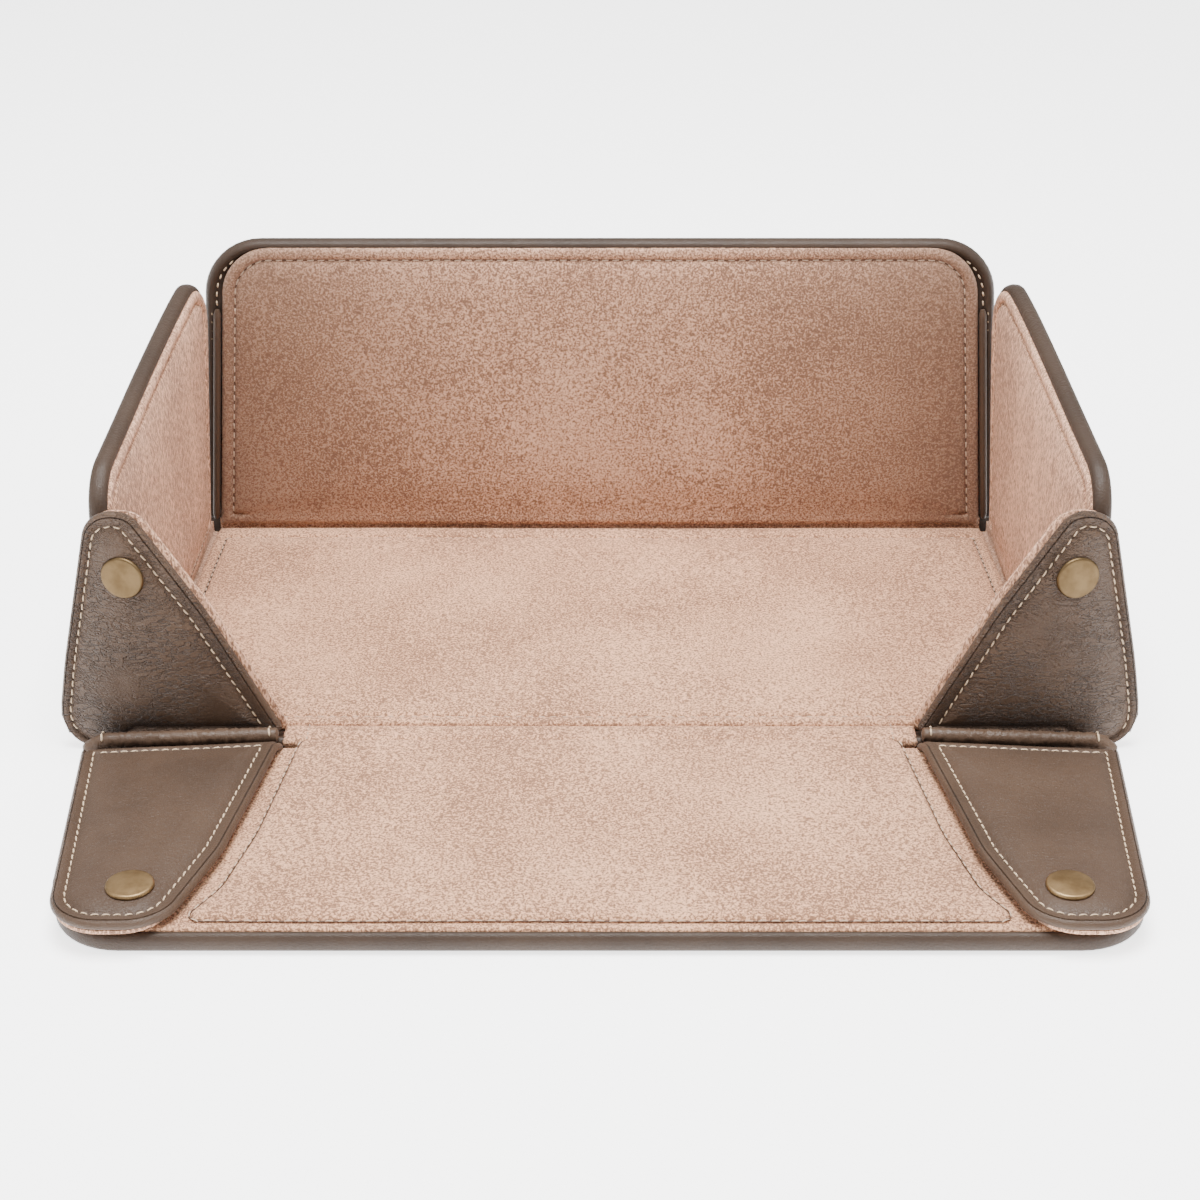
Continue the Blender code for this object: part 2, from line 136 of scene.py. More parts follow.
area_lamp("lamp_above", (0.0, -0.12, 1.0), (0, -0.03, 0), 0.5, 26)
area_lamp("lamp_left", (-1.1, -0.5, 0.8), (0, 0, 0.03), 0.6, 6)
area_lamp("lamp_right", (1.0, -0.2, 0.7), (0, 0, 0.03), 0.5, 4)
print("lamps:", len(bpy.data.lights))

# %% [markdown]
# ## Places to work in
# Every panel is modelled flat, in its own directions: `u` along its hinge, `v` up or out
# from the hinge, and `w` through its thickness from the outer leather. A small frame of
# three directions then puts it where its hinge says. A maker thinks of it the same way:
# cut flat, sew flat, then fold. It also means that a size is read from the frame once and
# never typed again.

# %% Panel frames
PANEL = 0.005  # thickness of a wall or of the floor
WING = 0.0033  # thickness of a corner wing
SIDE_LEAN = math.radians(0.5)  # of a side wall, inward
LAID_LIFT = 0.0008  # of a lying wing, over the front wall's lining
SIDES = {"right": 1, "left": -1}

UP = Vector((0, 0, 1))
front_hinge = Vector(joints["front_wall_fold"]["pos_m"])
back_hinge = Vector(joints["back_wall_fold"]["pos_m"])
HINGE_HEIGHT = front_hinge.z


def clamped(share):
    return min(1.0, max(0.0, share))


def eased(share):
    """From 0 to 1 with a soft start and a soft end."""
    return share * share * (3 - 2 * share)


class Place:
    """Three directions and an origin for a piece that is modelled flat."""

    def __init__(self, origin, up, inward):
        self.origin = Vector(origin)
        self.v = Vector(up).normalized()
        self.w = Vector(inward).normalized()
        self.u = self.v.cross(self.w)

    def at(self, u, v, w):
        return self.origin + self.u * u + self.v * v + self.w * w


places = {
    "base": Place((0, 0, 0), (0, 1, 0), UP),
    "front": Place((0, front_hinge.y, 0), (0, -1, 0), UP),
    "back": Place((0, back_hinge.y + PANEL, HINGE_HEIGHT), UP, (0, -1, 0)),
}
wing_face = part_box("right_wing_cover")[0][1]
laid_top = PANEL + LAID_LIFT + WING
for side_word, sign in SIDES.items():
    hinge = joints[side_word + "_wall_fold"]
    run = Vector(hinge["axis"])
    if run.y > 0:
        run = -run
    level = UP.cross(run) * -sign
    lean_up = UP * math.cos(SIDE_LEAN) + level * math.sin(SIDE_LEAN)
    inward = level * math.cos(SIDE_LEAN) - UP * math.sin(SIDE_LEAN)
    places[side_word] = Place(Vector(hinge["pos_m"]) - inward * PANEL, lean_up, inward)
    places[side_word + "_wing"] = Place((0, wing_face, HINGE_HEIGHT), UP, (0, 1, 0))
    places["front_wing_" + side_word] = Place(
        (0, front_hinge.y, laid_top), (0, -1, 0), (0, 0, -1)
    )
hinge_slope = abs(run.x / run.y)
hinge_half_mid = abs(joints["right_wall_fold"]["pos_m"][0])
half_run = (back_hinge.y - wing_face) / 2 * math.hypot(1, hinge_slope)


def floor_half(y):
    """Half the floor's width, from the middle to a side wall's hinge line."""
    return hinge_half_mid - hinge_slope * y


print("floor", round(floor_half(back_hinge.y) * 2000), "to",
      round(floor_half(wing_face) * 2000), "mm wide")

# %% [markdown]
# ## Outlines and rings
# A panel's outline is a few corners, each with a radius. Drawing the same outline in by
# steps gives rings with matching points, and rings at different depths make a rolled
# edge, a sewn groove or a soft crown. A bevel modifier could round an edge too, but
# rings let the whole profile be drawn freely, and each side may be drawn in by its own
# amount, as where a seam runs closer to one edge than to another.

# %% Outline tools
ARC_STEPS = 10
EDGE_STEP = 0.004
ROUND_KEPT_SHARE = 0.35  # of a corner's radius, however far its outline is drawn in


def drawn_in(corners, insets):
    """Corners as (spot, radius) moved in; insets is one distance or one for each side."""
    count = len(corners)
    if not isinstance(insets, (list, tuple)):
        insets = [insets] * count
    spots = [Vector(spot) for spot, _ in corners]
    radii = [radius for _, radius in corners]
    if sum(a.cross(b) for a, b in zip(spots, spots[1:] + spots[:1])) < 0:
        spots.reverse()
        radii.reverse()
        insets = [insets[(count - 2 - i) % count] for i in range(count)]
    moved = []
    for i in range(count):
        before = (spots[i] - spots[i - 1]).normalized()
        after = (spots[(i + 1) % count] - spots[i]).normalized()
        first, second = insets[i - 1], insets[i]
        normal_a, normal_b = Vector((-before.y, before.x)), Vector((-after.y, after.x))
        turn = normal_a.cross(normal_b)
        shift = Vector((first * normal_b.y - second * normal_a.y,
                        second * normal_a.x - first * normal_b.x)) / turn
        left = max(radii[i] - (first + second) / 2, radii[i] * ROUND_KEPT_SHARE)
        moved.append((spots[i] + shift, left))
    return moved


def rounded(corners, counts=None):
    """Points of an outline with arcs at its corners, and how many each side got."""
    arcs = []
    for i, (spot, radius) in enumerate(corners):
        to_last = (corners[i - 1][0] - spot).normalized()
        to_next = (corners[(i + 1) % len(corners)][0] - spot).normalized()
        half = to_last.angle(to_next) / 2
        centre = spot + (to_last + to_next).normalized() * radius / math.sin(half)
        first = spot + to_last * radius / math.tan(half) - centre
        turn = math.pi - 2 * half
        if to_last.cross(to_next) > 0:
            turn = -turn
        arc = []
        for step in range(ARC_STEPS + 1):
            angle = turn * step / ARC_STEPS
            c, s = math.cos(angle), math.sin(angle)
            arc.append(centre + Vector((first.x * c - first.y * s, first.x * s + first.y * c)))
        arcs.append(arc)
    if counts is None:
        counts = []
        for i, arc in enumerate(arcs):
            gap = (arcs[(i + 1) % len(arcs)][0] - arc[-1]).length
            counts.append(max(1, round(gap / EDGE_STEP)))
    points = []
    for i, arc in enumerate(arcs):
        points.extend(arc)
        after = arcs[(i + 1) % len(arcs)][0]
        for step in range(1, counts[i]):
            points.append(arc[-1].lerp(after, step / counts[i]))
    return points, counts


def mirrored(corners, sign):
    return [((sign * spot[0], spot[1]), radius) for spot, radius in corners]


def four_corners(foot_half, head_half, foot, head, foot_round, head_round):
    """A symmetric panel: half its width at the foot and at the head, and their heights."""
    right = [((foot_half, foot), foot_round), ((head_half, head), head_round)]
    left = mirrored(right, -1)
    return [left[0], *right, left[1]]


print("a round corner has", ARC_STEPS, "steps")


# %% Solids from rings
SWELL_STEPS = 9


def skin_rings(work, rings, capped=True):
    """Faces between rings of points, each closed on itself, and one over both ends."""
    for low, high in zip(rings, rings[1:]):
        for i in range(len(low)):
            work.faces.new((low[i - 1], low[i], high[i], high[i - 1]))
    if capped:
        work.faces.new(rings[0][::-1])
        work.faces.new(rings[-1])


def finish_piece(name, work, material, body, smooth=50.0):
    mesh = bpy.data.meshes.new(name)
    bmesh.ops.recalc_face_normals(work, faces=work.faces[:])
    work.to_mesh(mesh)
    work.free()
    mesh.shade_smooth()
    mesh.set_sharp_from_angle(angle=math.radians(smooth))
    mesh.materials.append(material)
    piece = bpy.data.objects.new(name, mesh)
    bpy.context.scene.collection.objects.link(piece)
    if body:
        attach(piece, body)
    return piece


def shrunk(outline, shares):
    """Copies of an outline drawn towards its centre, each at its own depth."""
    centre = sum(outline, Vector((0, 0))) / len(outline)
    return [([centre + (point - centre) * share for point in outline], depth)
            for share, depth in shares]


def swelling(depth, rise, reach=0.35):
    """(share, depth) from a border towards the middle, rising softly and then level."""
    rings = []
    for step in range(1, SWELL_STEPS + 1):
        share = 1 - 0.97 * step / SWELL_STEPS
        lift = math.sin(min(1.0, (1 - share) / reach) * math.pi / 2)
        rings.append((share, depth + rise * lift))
    return rings


def ringed(name, place, corners, layers, material, body, shape=None, middle=(), crown=()):
    """A closed soft solid through rings of one outline. layers: (drawn in by, depth).

    middle and crown hold (share, depth) of rings that shrink the first and the last
    layer towards their centre, so that no corner can turn over.
    """
    work = bmesh.new()
    rings = []
    counts = rounded(drawn_in(corners, 0))[1]
    outlines = [(rounded(drawn_in(corners, insets), counts)[0], depth)
                for insets, depth in layers]
    outlines = shrunk(outlines[0][0], middle) + outlines + shrunk(outlines[-1][0], crown)
    for points, depth in outlines:
        bent = [shape(*point, depth) if shape else (*point, depth) for point in points]
        rings.append([work.verts.new(place.at(*spot)) for spot in bent])
    skin_rings(work, rings)
    return finish_piece(name, work, material, body)


def uneven(size, scale, seed):
    """Small swells for hand work: the same every time, as they come from place alone."""
    def shape(u, v, w):
        swell = noise.noise(Vector((u * scale, v * scale, seed)))
        return u, v, w + swell * size
    return shape


print("a swelling has", SWELL_STEPS, "rings")

# %% [markdown]
# ## Leather
# The cover is a smooth, slightly waxy calf leather: an even taupe with cloudy variation,
# a fine pebble that shows most in raking light, and hair-thin creases. It is built from
# noise at three sizes. The bump does the grain, and the same noise nudges the roughness,
# so that the high spots are polished and the valleys are dull, as on handled leather.

# %% Node helpers
class Recipe:
    """A new material, its Principled shader and short ways to add nodes before it."""

    def __init__(self, name):
        self.material = bpy.data.materials.new(name)
        self.material.use_nodes = True
        self.nodes = self.material.node_tree.nodes
        self.shader = self.nodes["Principled BSDF"]
        self.coords = self.add("TexCoord").outputs["Object"]

    def feed(self, node, inputs):
        """Give a node's inputs plain values or other nodes' outputs."""
        for name, value in inputs.items():
            if isinstance(value, bpy.types.NodeSocket):
                self.material.node_tree.links.new(value, node.inputs[name])
            else:
                node.inputs[name].default_value = value

    def add(self, kind, inputs=None, **settings):
        node = self.nodes.new("ShaderNode" + kind)
        for name, value in settings.items():
            setattr(node, name, value)
        self.feed(node, inputs or {})
        return node

    def clouds(self, coords, scale, detail=4.0, rough=0.55):
        return self.add("TexNoise", {"Vector": coords, "Scale": scale, "Detail": detail,
                                     "Roughness": rough}).outputs["Fac"]

    def stretched(self, coords, scale, turn=(0, 0, 0)):
        """Coordinates scaled by direction, which turns clouds into streaks."""
        return self.add("Mapping", {"Vector": coords, "Scale": scale,
                                    "Rotation": turn}).outputs["Vector"]

    def warped(self, coords, scale, amount):
        """Coordinates pushed about by noise, so that no pattern keeps a grid."""
        push = self.add("TexNoise", {"Vector": coords, "Scale": scale}).outputs["Color"]
        return self.add("VectorMath", {0: push, 1: (amount,) * 3, 2: coords},
                        operation="MULTIPLY_ADD").outputs[0]

    def remap(self, value, low, high, to_low=0.0, to_high=1.0):
        return self.add("MapRange", {"Value": value, "From Min": low, "From Max": high,
                                     "To Min": to_low, "To Max": to_high}).outputs["Result"]

    def ramp(self, value, stops, colours):
        node = self.add("ValToRGB", {"Fac": value})
        band = node.color_ramp
        while len(band.elements) < len(stops):
            band.elements.new(0.5)
        for element, place, colour in zip(band.elements, stops, colours):
            element.position = place
            element.color = (*colour, 1)
        return node.outputs["Color"]

    def combine(self, how, first, second=0.0):
        return self.add("Math", {0: first, 1: second}, operation=how).outputs[0]

    def mixed(self, share, first, second, **settings):
        return self.add("Mix", {"Factor": share, "A": first, "B": (*second, 1)},
                        data_type="RGBA", **settings).outputs["Result"]

    def bump(self, height, strength, distance, under=None):
        inputs = {"Height": height, "Strength": strength, "Distance": distance}
        if under:
            inputs["Normal"] = under
        return self.add("Bump", inputs).outputs["Normal"]

    def done(self, inputs):
        self.feed(self.shader, inputs)
        return self.material


def toned(tones, shade, tint=(1.0, 1.0, 1.0)):
    return [tuple(c * shade * part for c, part in zip(tone, tint)) for tone in tones]


print("shader helpers ready")


# %% Leather material
LEATHER_TONES = [(0.062, 0.036, 0.022), (0.085, 0.050, 0.031), (0.106, 0.064, 0.040)]
LEATHER_HOLLOW = (0.35, 0.32, 0.30)  # the colour between pebbles, times the leather's own


def creases(mix, coords, turn, scale, width):
    """Thin lines where stretched noise crosses its middle: fold marks in one direction."""
    lay = mix.stretched(coords, (1.0, 2.6, 2.6), (0, turn, turn))
    wave = mix.clouds(lay, scale, 3, 0.5)
    away = mix.combine("ABSOLUTE", mix.combine("SUBTRACT", wave, 0.5))
    return mix.remap(away, 0.0, width)


def leather(name, pebble=0.5, shade=1.0, rough=0.46, folds=0.0):
    """Leather; pebble, rough and folds set its grain, its gloss and its wear."""
    mix = Recipe(name)
    loose = mix.warped(mix.coords, 260, 0.0016)
    cloud = mix.clouds(mix.coords, 38, 5)
    pores = mix.add("TexVoronoi", {"Vector": loose, "Scale": 1150},
                    feature="DISTANCE_TO_EDGE").outputs["Distance"]
    wrinkle = mix.clouds(loose, 620, 6, 0.7)
    fine = mix.clouds(mix.coords, 2600, 3)
    colour = mix.ramp(cloud, (0.25, 0.5, 0.78), toned(LEATHER_TONES, shade))
    valley = mix.remap(pores, 0.0, 0.16)
    hollow = mix.remap(valley, 0.0, 1.0, 0.35 * pebble, 0.0)
    grain = mix.combine("ADD", mix.combine("MULTIPLY", valley, 0.6), wrinkle)
    gloss = mix.remap(wrinkle, 0.3, 0.7, rough + 0.1, rough - 0.06)
    low = mix.bump(grain, 0.35 + 0.5 * pebble, 0.00016)
    if folds:
        crossed = mix.combine("MINIMUM", creases(mix, loose, 0.72, 190, 0.045),
                              creases(mix, loose, -0.78, 210, 0.045))
        soft = mix.combine("MULTIPLY", mix.clouds(mix.coords, 300, 2), 0.5)
        relief = mix.combine("ADD", mix.combine("MULTIPLY", crossed, 0.8), soft)
        where = mix.remap(mix.clouds(mix.coords, 46, 2), 0.34, 0.56)
        low = mix.bump(mix.combine("MULTIPLY", relief, where), folds, 0.00055, low)
    return mix.done({
        "Base Color": mix.mixed(hollow, colour, LEATHER_HOLLOW, blend_type="MULTIPLY"),
        "Roughness": gloss, "Normal": mix.bump(fine, 0.25, 0.00004, low),
        "Specular IOR Level": 0.28, "Sheen Weight": 0.06, "Sheen Roughness": 0.4,
    })


LEATHER = leather("leather_smooth", pebble=0.25, shade=0.77, folds=0.2)
# A darker copy of the same leather: painted shade on the outer faces and rims of the covers, the
# outer hinge strips and the corner skins.
LEATHER_SHADED = leather("leather_painted_shade", pebble=0.2, shade=0.45)
# The standing wings get a lighter copy: its heavier pebble and folds are real grain, and its
# lighter tone is painted light.
LEATHER_WING_LIGHTENED = leather("leather_grained_painted_light", pebble=0.7, shade=0.92, folds=1.0)
LEATHER_ROLL = leather("leather_rolled", pebble=0.15, shade=0.92, rough=0.42)
print("leather finishes:", 4)

# %% [markdown]
# ## Suede
# Suede is the flesh side of the hide, brushed to a short nap. It has no gloss: light
# catches on the fibre tips and the colour shifts in patches where the nap lies another
# way. Sheen gives the pale velvet edge, long streaks come from stretched noise, and a
# very fine noise stands for single tufts.

# %% Suede material
SUEDE_TONES = [(0.240, 0.140, 0.098), (0.480, 0.275, 0.178), (0.780, 0.500, 0.350)]
# The colour of the painted shade that darkens suede towards the sides.
SUEDE_PAINTED_SHADE = (0.165, 0.100, 0.069)
SHEEN_TINT = (1.0, 0.86, 0.78, 1)


def suede(name, shade=1.0, streak=(1.0, 1.0, 1.0), contrast=1.0, painted_side_shade=None,
          tint=(1.0, 1.0, 1.0)):
    """Suede; a (start, end, share) triple darkens it towards the sides as painted shade: the |x|
    between which it darkens, and how far.
    """
    mix = Recipe(name)
    brushed = mix.stretched(mix.coords, streak)
    patches = mix.clouds(brushed, 26, 4, 0.5)
    tufts = mix.clouds(mix.warped(brushed, 700, 0.0011), 1650, 4, 0.68)
    fibres = mix.clouds(mix.coords, 3600, 2, 0.6)
    nap = mix.combine("ADD", mix.combine("MULTIPLY", patches, 0.15),
                      mix.combine("MULTIPLY", tufts, 0.85))
    spread = 0.095 / contrast
    stops = (0.5 - spread, 0.5, 0.5 + spread)
    colour = mix.ramp(nap, stops, toned(SUEDE_TONES, shade, tint))
    # Painted shade: darker towards the sides, where the walls shade the suede.
    if painted_side_shade:
        start, end, share = painted_side_shade
        apart = mix.add("SeparateXYZ", {0: mix.coords}).outputs["X"]
        side_shade_mask = mix.remap(mix.combine("ABSOLUTE", apart), start, end, 0.0, share)
        colour = mix.mixed(side_shade_mask, colour, SUEDE_PAINTED_SHADE)
    low = mix.bump(tufts, 1.0, 0.00055)
    return mix.done({
        "Base Color": colour, "Roughness": 0.92, "Specular IOR Level": 0.12,
        "Sheen Weight": 0.14, "Sheen Roughness": 0.45, "Sheen Tint": SHEEN_TINT,
        "Normal": mix.bump(fibres, 0.8, 0.00012, low),
    })


# The floor and the back wall darken towards their sides: painted shade.
SUEDE_FLOOR = suede("suede_floor", shade=1.02, contrast=2.3, painted_side_shade=(0.055, 0.118, 0.24),
                    tint=(1.08, 0.96, 0.84))
SUEDE_BACK = suede("suede_back", shade=0.92, contrast=1.5, painted_side_shade=(0.035, 0.118, 0.72),
                   tint=(0.95, 0.91, 0.88))
SUEDE_SIDE = suede("suede_side", shade=1.04, streak=(1.0, 1.6, 0.35), contrast=2.0,
                   tint=(1.06, 1.0, 0.96))
SUEDE_ROLL = suede("suede_roll", shade=0.80)
print("suede finishes:", 4)

# %% [markdown]
# ## Metal and thread
# The snap caps are brushed brass that has gone brown in its hollows. The leather is sewn
# with a waxed cream cord, and the suede with a thin tan one over a groove darkened by a
# near-black cord of painted shade. Each stitch has a tiny twist in its surface.

# %% Brass, thread and board materials
BRASS_TONES = [(0.120, 0.076, 0.036), (0.200, 0.134, 0.068)]
BOARD_TONES = [(0.24, 0.18, 0.11), (0.40, 0.31, 0.2)]


def brass(name, shade=1.0):
    mix = Recipe(name)
    scratches = mix.clouds(mix.stretched(mix.coords, (1.0, 14.0, 14.0)), 700, 3)
    stain = mix.clouds(mix.coords, 240, 4)
    return mix.done({
        "Base Color": mix.ramp(stain, (0.3, 0.65), toned(BRASS_TONES, shade)),
        "Metallic": 1.0, "Roughness": mix.remap(scratches, 0.3, 0.7, 0.42, 0.52),
        "Normal": mix.bump(scratches, 0.12, 0.00003),
    })


def thread(name, colour):
    mix = Recipe(name)
    twist = mix.clouds(mix.coords, 3000, 2)
    dark = tuple(c * 0.7 for c in colour)
    return mix.done({"Base Color": mix.ramp(twist, (0.3, 0.7), (dark, colour)),
                     "Roughness": 0.7, "Normal": mix.bump(twist, 0.6, 0.00008)})


def pressed_board(name):
    mix = Recipe(name)
    pulp = mix.clouds(mix.coords, 700, 5)
    return mix.done({"Base Color": mix.ramp(pulp, (0.3, 0.7), BOARD_TONES),
                     "Roughness": 0.9})


# Two copies of one brass: a darker one, painted shade, for the standing caps, which face the
# bright floor, and a brighter one, painted light, for the lying caps.
BRASS = brass("brass_painted_shade", shade=0.66)
BRASS_PAINTED_LIGHT = brass("brass_painted_light", shade=1.6)  # brighter copy on the lying caps: painted light
THREAD_CREAM = thread("thread_cream", (0.62, 0.46, 0.31))
THREAD_TAN = thread("thread_tan", (0.60, 0.42, 0.30))
# A near-black cord laid in each suede groove: painted shade for the bottom of the groove.
THREAD_PAINTED_SHADE = thread("groove_painted_shade", (0.11, 0.060, 0.038))
BOARD = pressed_board("board_pressed")
for node_name, node_object in frame["nodes"].items():
    finish = BRASS if ("snap" in node_name or "stud" in node_name) else BOARD
    node_object.data.materials.clear()
    node_object.data.materials.append(finish)
print("hidden boards and snaps finished")

# %% [markdown]
# ## Stitches
# A saddle stitch is a row of short cords that each dip into a hole. One capsule, shaped
# once, is set along the seam at an even pitch, with a little turn from stitch to stitch,
# and all the stitches of a seam make one mesh. A painted dashed line would be cheaper,
# but it would lie flat, and here each stitch catches its own light and shadow.

# %% Stitch maker
STITCH_PITCH = 0.0026
STITCH_LENGTH = 0.0021
THREAD_HALF = 0.00020
STITCH_SIDES = 8
random.seed(11)


def cord_stitch(work, centre, along, normal, length, half):
    """One stitch: a small round-ended cord that sinks at its ends."""
    across = along.cross(normal).normalized()
    lift = across.cross(along).normalized()
    rings = []
    steps = 6
    for step in range(steps + 1):
        t = (step / steps - 0.5) * 2
        fat = half * math.sqrt(max(0.02, 1 - abs(t) ** 5))
        middle = centre + along * (t * length / 2) - lift * (half * 1.5 * abs(t) ** 3)
        ring = []
        for side in range(STITCH_SIDES):
            angle = 2 * math.pi * side / STITCH_SIDES
            spot = across * math.cos(angle) * fat * 1.15 + lift * math.sin(angle) * fat
            ring.append(work.verts.new(middle + spot))
        rings.append(ring)
    skin_rings(work, rings)


def evenly(path, pitch):
    """Middles and directions of stitches set at an even pitch along a path."""
    total = sum((b - a).length for a, b in zip(path, path[1:]))
    count = max(1, round(total / pitch))
    step = total / count
    out = []
    walked = 0.0
    goal = step / 2
    for a, b in zip(path, path[1:]):
        span = (b - a).length
        while goal <= walked + span and len(out) < count:
            out.append((a.lerp(b, (goal - walked) / max(span, 1e-9)), (b - a).normalized()))
            goal += step
        walked += span
    return out


def stitch_row(name, path, normal, body, material, length=STITCH_LENGTH, half=THREAD_HALF,
               slant=0.10, pitch=STITCH_PITCH, kind="leather"):
    """A seam of stitches along points in space; normal is the face's outward direction."""
    work = bmesh.new()
    for centre, along in evenly(path, pitch):
        turned = Matrix.Rotation(slant + random.uniform(-0.06, 0.06), 3, normal) @ along
        nudge = normal * random.uniform(-0.00003, 0.00003)
        long = length * random.uniform(0.93, 1.05)
        cord_stitch(work, centre + nudge, turned, normal, long, half)
    finish_piece(name, work, material, body, smooth=80)


print("stitch pitch", STITCH_PITCH * 1000, "mm")


# %% Seams and welts
WELT_END = 0.55  # of a welt's radius, at its very ends
SUEDE_STITCH = {"length": 0.0024, "half": 0.00019, "slant": 0.03, "pitch": 0.0031}


def seam_path(place, corners, insets, depth, shape=None, first=None, last=None):
    """The outline drawn in by insets, as points in space, between two corner numbers."""
    points, counts = rounded(drawn_in(corners, insets))
    begin, end = 0, len(points)
    if first is not None:
        starts = [0]
        for count in counts:
            starts.append(starts[-1] + ARC_STEPS + count)
        begin, end = starts[first] + ARC_STEPS // 2, starts[last] + ARC_STEPS // 2
        if end <= begin:
            end += len(points)
    loop = [(*points[i % len(points)], depth) for i in range(begin, end + 1)]
    return [place.at(*(shape(*spot) if shape else spot)) for spot in loop]


def welt(name, path, radius, material, body, sides=12, across=None, wrinkle=0.0):
    """A round cord along a path, with narrower ends and, if asked, small wrinkles."""
    work = bmesh.new()
    rings = []
    last = len(path) - 1
    for i, centre in enumerate(path):
        along = (path[min(i + 1, last)] - path[max(i - 1, 0)]).normalized()
        side = along.cross(across).normalized() if across else along.orthogonal().normalized()
        lift = side.cross(along).normalized()
        fat = radius * (WELT_END if i in (0, last) else 1)
        ring = []
        for k in range(sides):
            c, s = (f(2 * math.pi * k / sides) for f in (math.cos, math.sin))
            crumple = wrinkle * noise.noise(Vector((i * 0.83, c * 1.1, s * 1.1)))
            ring.append(work.verts.new(centre + (side * c + lift * s) * (fat + crumple)))
        rings.append(ring)
    skin_rings(work, rings)
    return finish_piece(name, work, material, body, smooth=70)


def suede_seam(shade_line_name, row_name, paths, normal, body, radius=0.00020):
    """A near-black cord of painted shade in the groove of a pad, with a row of tan stitches on it.
    """
    welt(shade_line_name, paths[0], radius, THREAD_PAINTED_SHADE, body, sides=6)
    stitch_row(row_name, paths[1], normal, body, THREAD_TAN, kind="suede", **SUEDE_STITCH)


print("suede is stitched every", SUEDE_STITCH["pitch"] * 1000, "mm")

# %% [markdown]
# ## Covers and pads
# Each wall is the same recipe. The cover's leather comes up round the edge as a full,
# slightly puffed roll, which shows as a band from inside the tray. The lining is a padded
# suede panel with a soft edge, a border sewn down a few millimetres in, and a gentle
# crown. A cloth simulation could puff the pad, but a sewn border only a few millimetres
# wide is finer than its remesh keeps, so the profile is listed ring by ring.

# %% Profiles of a cover and a pad
COVER_EDGE = [
    (0.0040, -0.0002), (0.0024, -0.0002), (0.0012, 0.0000), (0.0004, 0.0005),
    (0.0000, 0.0013), (-0.0001, 0.0024), (0.0001, 0.0034), (0.0005, 0.0042),
    (0.0011, 0.0047), (0.0018, 0.0048), (0.0025, 0.0044), (0.0031, 0.0037),
    (0.0040, 0.0033), (0.0075, 0.0031),
]
PAD_TOP = 0.0058
PAD_CROWN = 0.0007
SEAM_FALL = 0.0010
SEAM_REACH = 0.0016  # to where the groove beside a seam ends


def wall_cover(prefix, corners, body, shape=None):
    """The leather cover of one panel: outer face, rolled rim and the ledge inside it."""
    # The cover wears the darker copy of the leather, painted shade on faces turned from the lamps.
    shell = ringed(prefix + "_leather", places[prefix], corners, COVER_EDGE, LEATHER_SHADED, body,
                   shape, middle=swelling(-0.0002, -0.0003)[::-1])
    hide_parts(prefix + "_cover")


def on_table(u, v, w):
    return u, v, max(w, 0.0)


def plus(insets, more):
    return [inset + more for inset in insets]


def pad_layers(edge, seam, low=0.0032, top=PAD_TOP, soft=0.0011):
    """Rings of a sewn pad: a soft edge, a border, the sunk seam and a crowned middle."""
    rise = [(-0.0001, 1.0), (0.0001, 0.55), (0.0005, 0.22), (0.0010, 0.05), (0.0016, 0.0)]
    groove = [(-0.0014, 0.0), (-0.0008, 0.15), (-0.0004, 0.50), (-0.00015, 0.95),
              (0.00015, 0.95), (0.0004, 0.50), (0.0009, 0.12)]
    return [(plus(edge, 0.0004), low), (edge, low + 0.0006),
            *[(plus(edge, more), top - soft * share) for more, share in rise],
            *[(plus(seam, more), top - SEAM_FALL * share) for more, share in groove],
            (plus(seam, 0.0018), top + 0.0001)]


def wall_pad(prefix, corners, body, finish, edge, seam, shape=None, crown=PAD_CROWN,
             foot_sewn=True, **more):
    """The suede lining of one panel, with a dark cord of painted shade and a row of stitches sunk
    in its seam.
    """
    top = more.get("top", PAD_TOP)
    first = last = None
    if not foot_sewn:
        first, last = 1, 0
        foot = corners[0][0][1]
        side = max(seam[1], seam[3]) + SEAM_REACH
        low, high = sorted((corners[0][0][0], corners[1][0][0]))
        swell = shape

        def shape(u, v, w):
            inner = low + side < u < high - side
            if inner and edge[0] + 0.0014 < v - foot < seam[0] + 0.003:
                w = max(w, top)
            return swell(u, v, w)
    soft = ringed(prefix + "_suede", places[prefix], corners, pad_layers(edge, seam, **more),
                  finish, body, shape, crown=swelling(top + 0.0001, crown))
    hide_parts(prefix + "_lining")
    paths = [seam_path(places[prefix], corners, seam, top - SEAM_FALL + lift, shape, first, last)
             for lift in (0.00012, 0.00036)]
    suede_seam(prefix + "_suede_cord", prefix + "_suede_stitches", paths, places[prefix].w, body)


print("pad stands", round((PAD_TOP + PAD_CROWN - PANEL) * 1000, 1), "mm over its panel")

# %% [markdown]
# ## The back wall
# The back wall is the tallest panel, with round upper corners, and it narrows upward. Its
# suede pad is narrower than its cover, so at each end a dark strip of leather shows.

# %% Back wall
HINGE_ROOM = 0.0025
FRONT_HINGE_ROOM = 0.0034
TIGHT = 0.0015
BACK_HIGH = 0.0926
BACK_ROUND = 0.0175
BACK_TAPER = 0.0072  # of the suede; the cover narrows less, which leaves a wide rim on top
COVER_TAPER = 0.0053
BACK_PAD_INSET = 0.0036

back_foot_half = floor_half(back_hinge.y) + 0.0021


